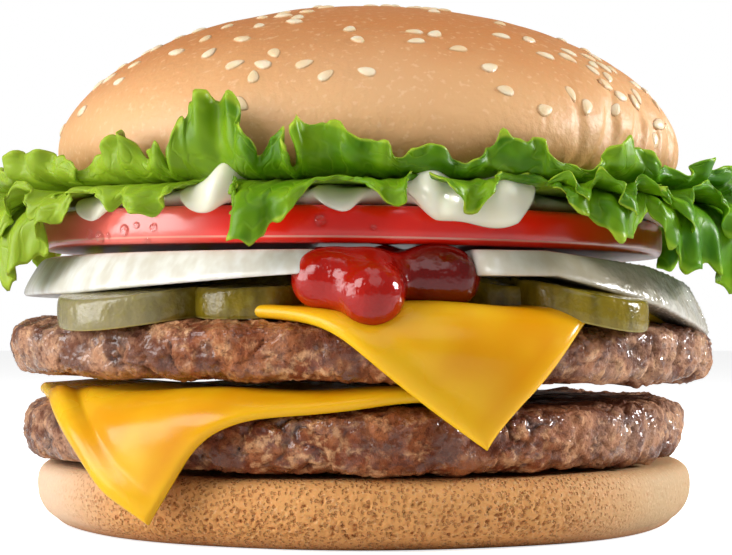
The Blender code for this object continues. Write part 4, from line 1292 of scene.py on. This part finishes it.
def seeded_share(tree):
    """Seeds keep to the upper dome and lie closest together on the right shoulder."""
    place = node(tree, "GeometryNodeInputPosition").outputs[0]
    height = node(tree, "ShaderNodeSeparateXYZ", {0: place}).outputs[2]
    general = maths(tree, "MULTIPLY", ramp(tree, height, 65 * MM, 69 * MM), 0.24)
    away = node(tree, "ShaderNodeVectorMath", {0: place, 1: CROWDED_SPOT}, operation="DISTANCE").outputs["Value"]
    return maths(tree, "MAXIMUM", general, ramp(tree, away, 16 * MM, 6 * MM, 0.0, 0.9))


def seed_material():
    material, tree, shader, place = new_material("sesame")
    tone = cloudy(tree, place, 2.2 * MM, 1.0)
    colour = blend(tree, ramp(tree, tone, 0.35, 0.65), (0.84, 0.62, 0.36), (0.90, 0.76, 0.54))
    level = node(tree, "ShaderNodeAttribute", attribute_name="level").outputs["Fac"]
    # Darker low on each seed: a slightly darker rim, and painted shade on its sides and underside.
    colour = blend(tree, ramp(tree, level, 0.62, 0.30, 0.0, 0.7), colour, (0.50, 0.24, 0.08))
    tree.links.new(colour, shader.inputs["Base Color"])
    set_shader(shader, Roughness=0.38, Subsurface_Weight=0.1, Subsurface_Scale=0.5 * MM)
    roughen(tree, shader, cloudy(tree, place, 0.4 * MM), 0.04 * MM)
    return material


def strew(name, host, tree, scatter_seed, material):
    piece = bpy.data.objects.new(name, host.data.copy())
    bpy.context.scene.collection.objects.link(piece)
    apply_tree(piece, tree, {"Scatter seed": scatter_seed, "Material": material})
    return piece


crust = crust_material()
crown = make_crown(crust)
apply_tree(crown, crust_tree(), {**CROWN_RELIEF, "Material": crust})
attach(crown, "root")
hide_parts("top_bun")

sesame = scatter_tree("Sesame", seed_body, seeded_share, SEED_DENSITY, SEED_SPACING, 0.88, 1.08)
seeds = strew("sesame_seeds", crown, sesame, 4.0, seed_material())
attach(seeds, "root")

# ---------------------------------------------------------------------------------------------------------------
# Water beads. Rinsing water left on the tomato's skin, in clear beads up to 2 mm wide low on the left, and as
# fine wet grains on the drooping end of the onion.
# ---------------------------------------------------------------------------------------------------------------
BEAD_SPACING = 1.5 * MM
BEAD_DENSITY = 320000.0  # for each square metre where they lie closest
GRAIN_SPACING = 0.8 * MM
GRAIN_DENSITY = 700000.0


def bead_body(tree):
    return drop_shape(tree, 0.55 * MM, 0.50 * MM, 0.40 * MM, 0.05, 0.06 * MM)


def grain_body(tree):
    return drop_shape(tree, 0.26 * MM, 0.20 * MM, 0.16 * MM, 0.10, 0.03 * MM)


def between(tree, value, low, high, fade):
    """1 from low to high, fading out beyond both."""
    rising = ramp(tree, value, low - fade, low)
    return maths(tree, "MULTIPLY", rising, ramp(tree, value, high, high + fade, 1.0, 0.0))


def beaded_share(tree):
    """Beads keep low on the left of the tomato's skin."""
    parts = node(tree, "ShaderNodeSeparateXYZ", {0: node(tree, "GeometryNodeInputPosition").outputs[0]}).outputs
    heading = maths(tree, "ARCTAN2", parts[0], maths(tree, "MULTIPLY", parts[1], -1.0))
    close = between(tree, heading, -0.87, -0.66, 0.08)
    low = between(tree, parts[2], 48.4 * MM, 50.6 * MM, 0.5 * MM)
    sparse = maths(tree, "MULTIPLY", between(tree, heading, -0.9, 0.4, 0.1), 0.05)
    skin = between(tree, parts[2], 48.4 * MM, 52.2 * MM, 0.4 * MM)
    return maths(tree, "MAXIMUM", maths(tree, "MULTIPLY", close, low), maths(tree, "MULTIPLY", sparse, skin))


def grainy_share(tree):
    """Grains keep to the front of the onion's right end."""
    parts = node(tree, "ShaderNodeSeparateXYZ", {0: node(tree, "GeometryNodeInputPosition").outputs[0]}).outputs
    return maths(tree, "MULTIPLY", ramp(tree, parts[0], 36 * MM, 46 * MM), ramp(tree, parts[1], -8 * MM, -16 * MM))


def water_material():
    material, tree, shader, place = new_material("clear water")
    haze = cloudy(tree, place, 1.0 * MM)
    tree.links.new(ramp(tree, haze, 0.3, 0.7, 0.0, 0.05), shader.inputs["Roughness"])
    set_shader(shader, Base_Color=(1.0, 1.0, 1.0, 1.0), IOR=1.33, Transmission_Weight=1.0)
    return material


water = water_material()
beads = scatter_tree("Beads", bead_body, beaded_share, BEAD_DENSITY, BEAD_SPACING, 0.7, 2.1)
tomato_beads = strew("tomato_beads", tomato_slice, beads, 3.0, water)
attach(tomato_beads, "root")

grains = scatter_tree("Grains", grain_body, grainy_share, GRAIN_DENSITY, GRAIN_SPACING, 0.7, 1.3)
onion_grains = strew("onion_grains", bpy.data.objects["onion_right_slice"], grains, 2.0, water)
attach(onion_grains, "root")
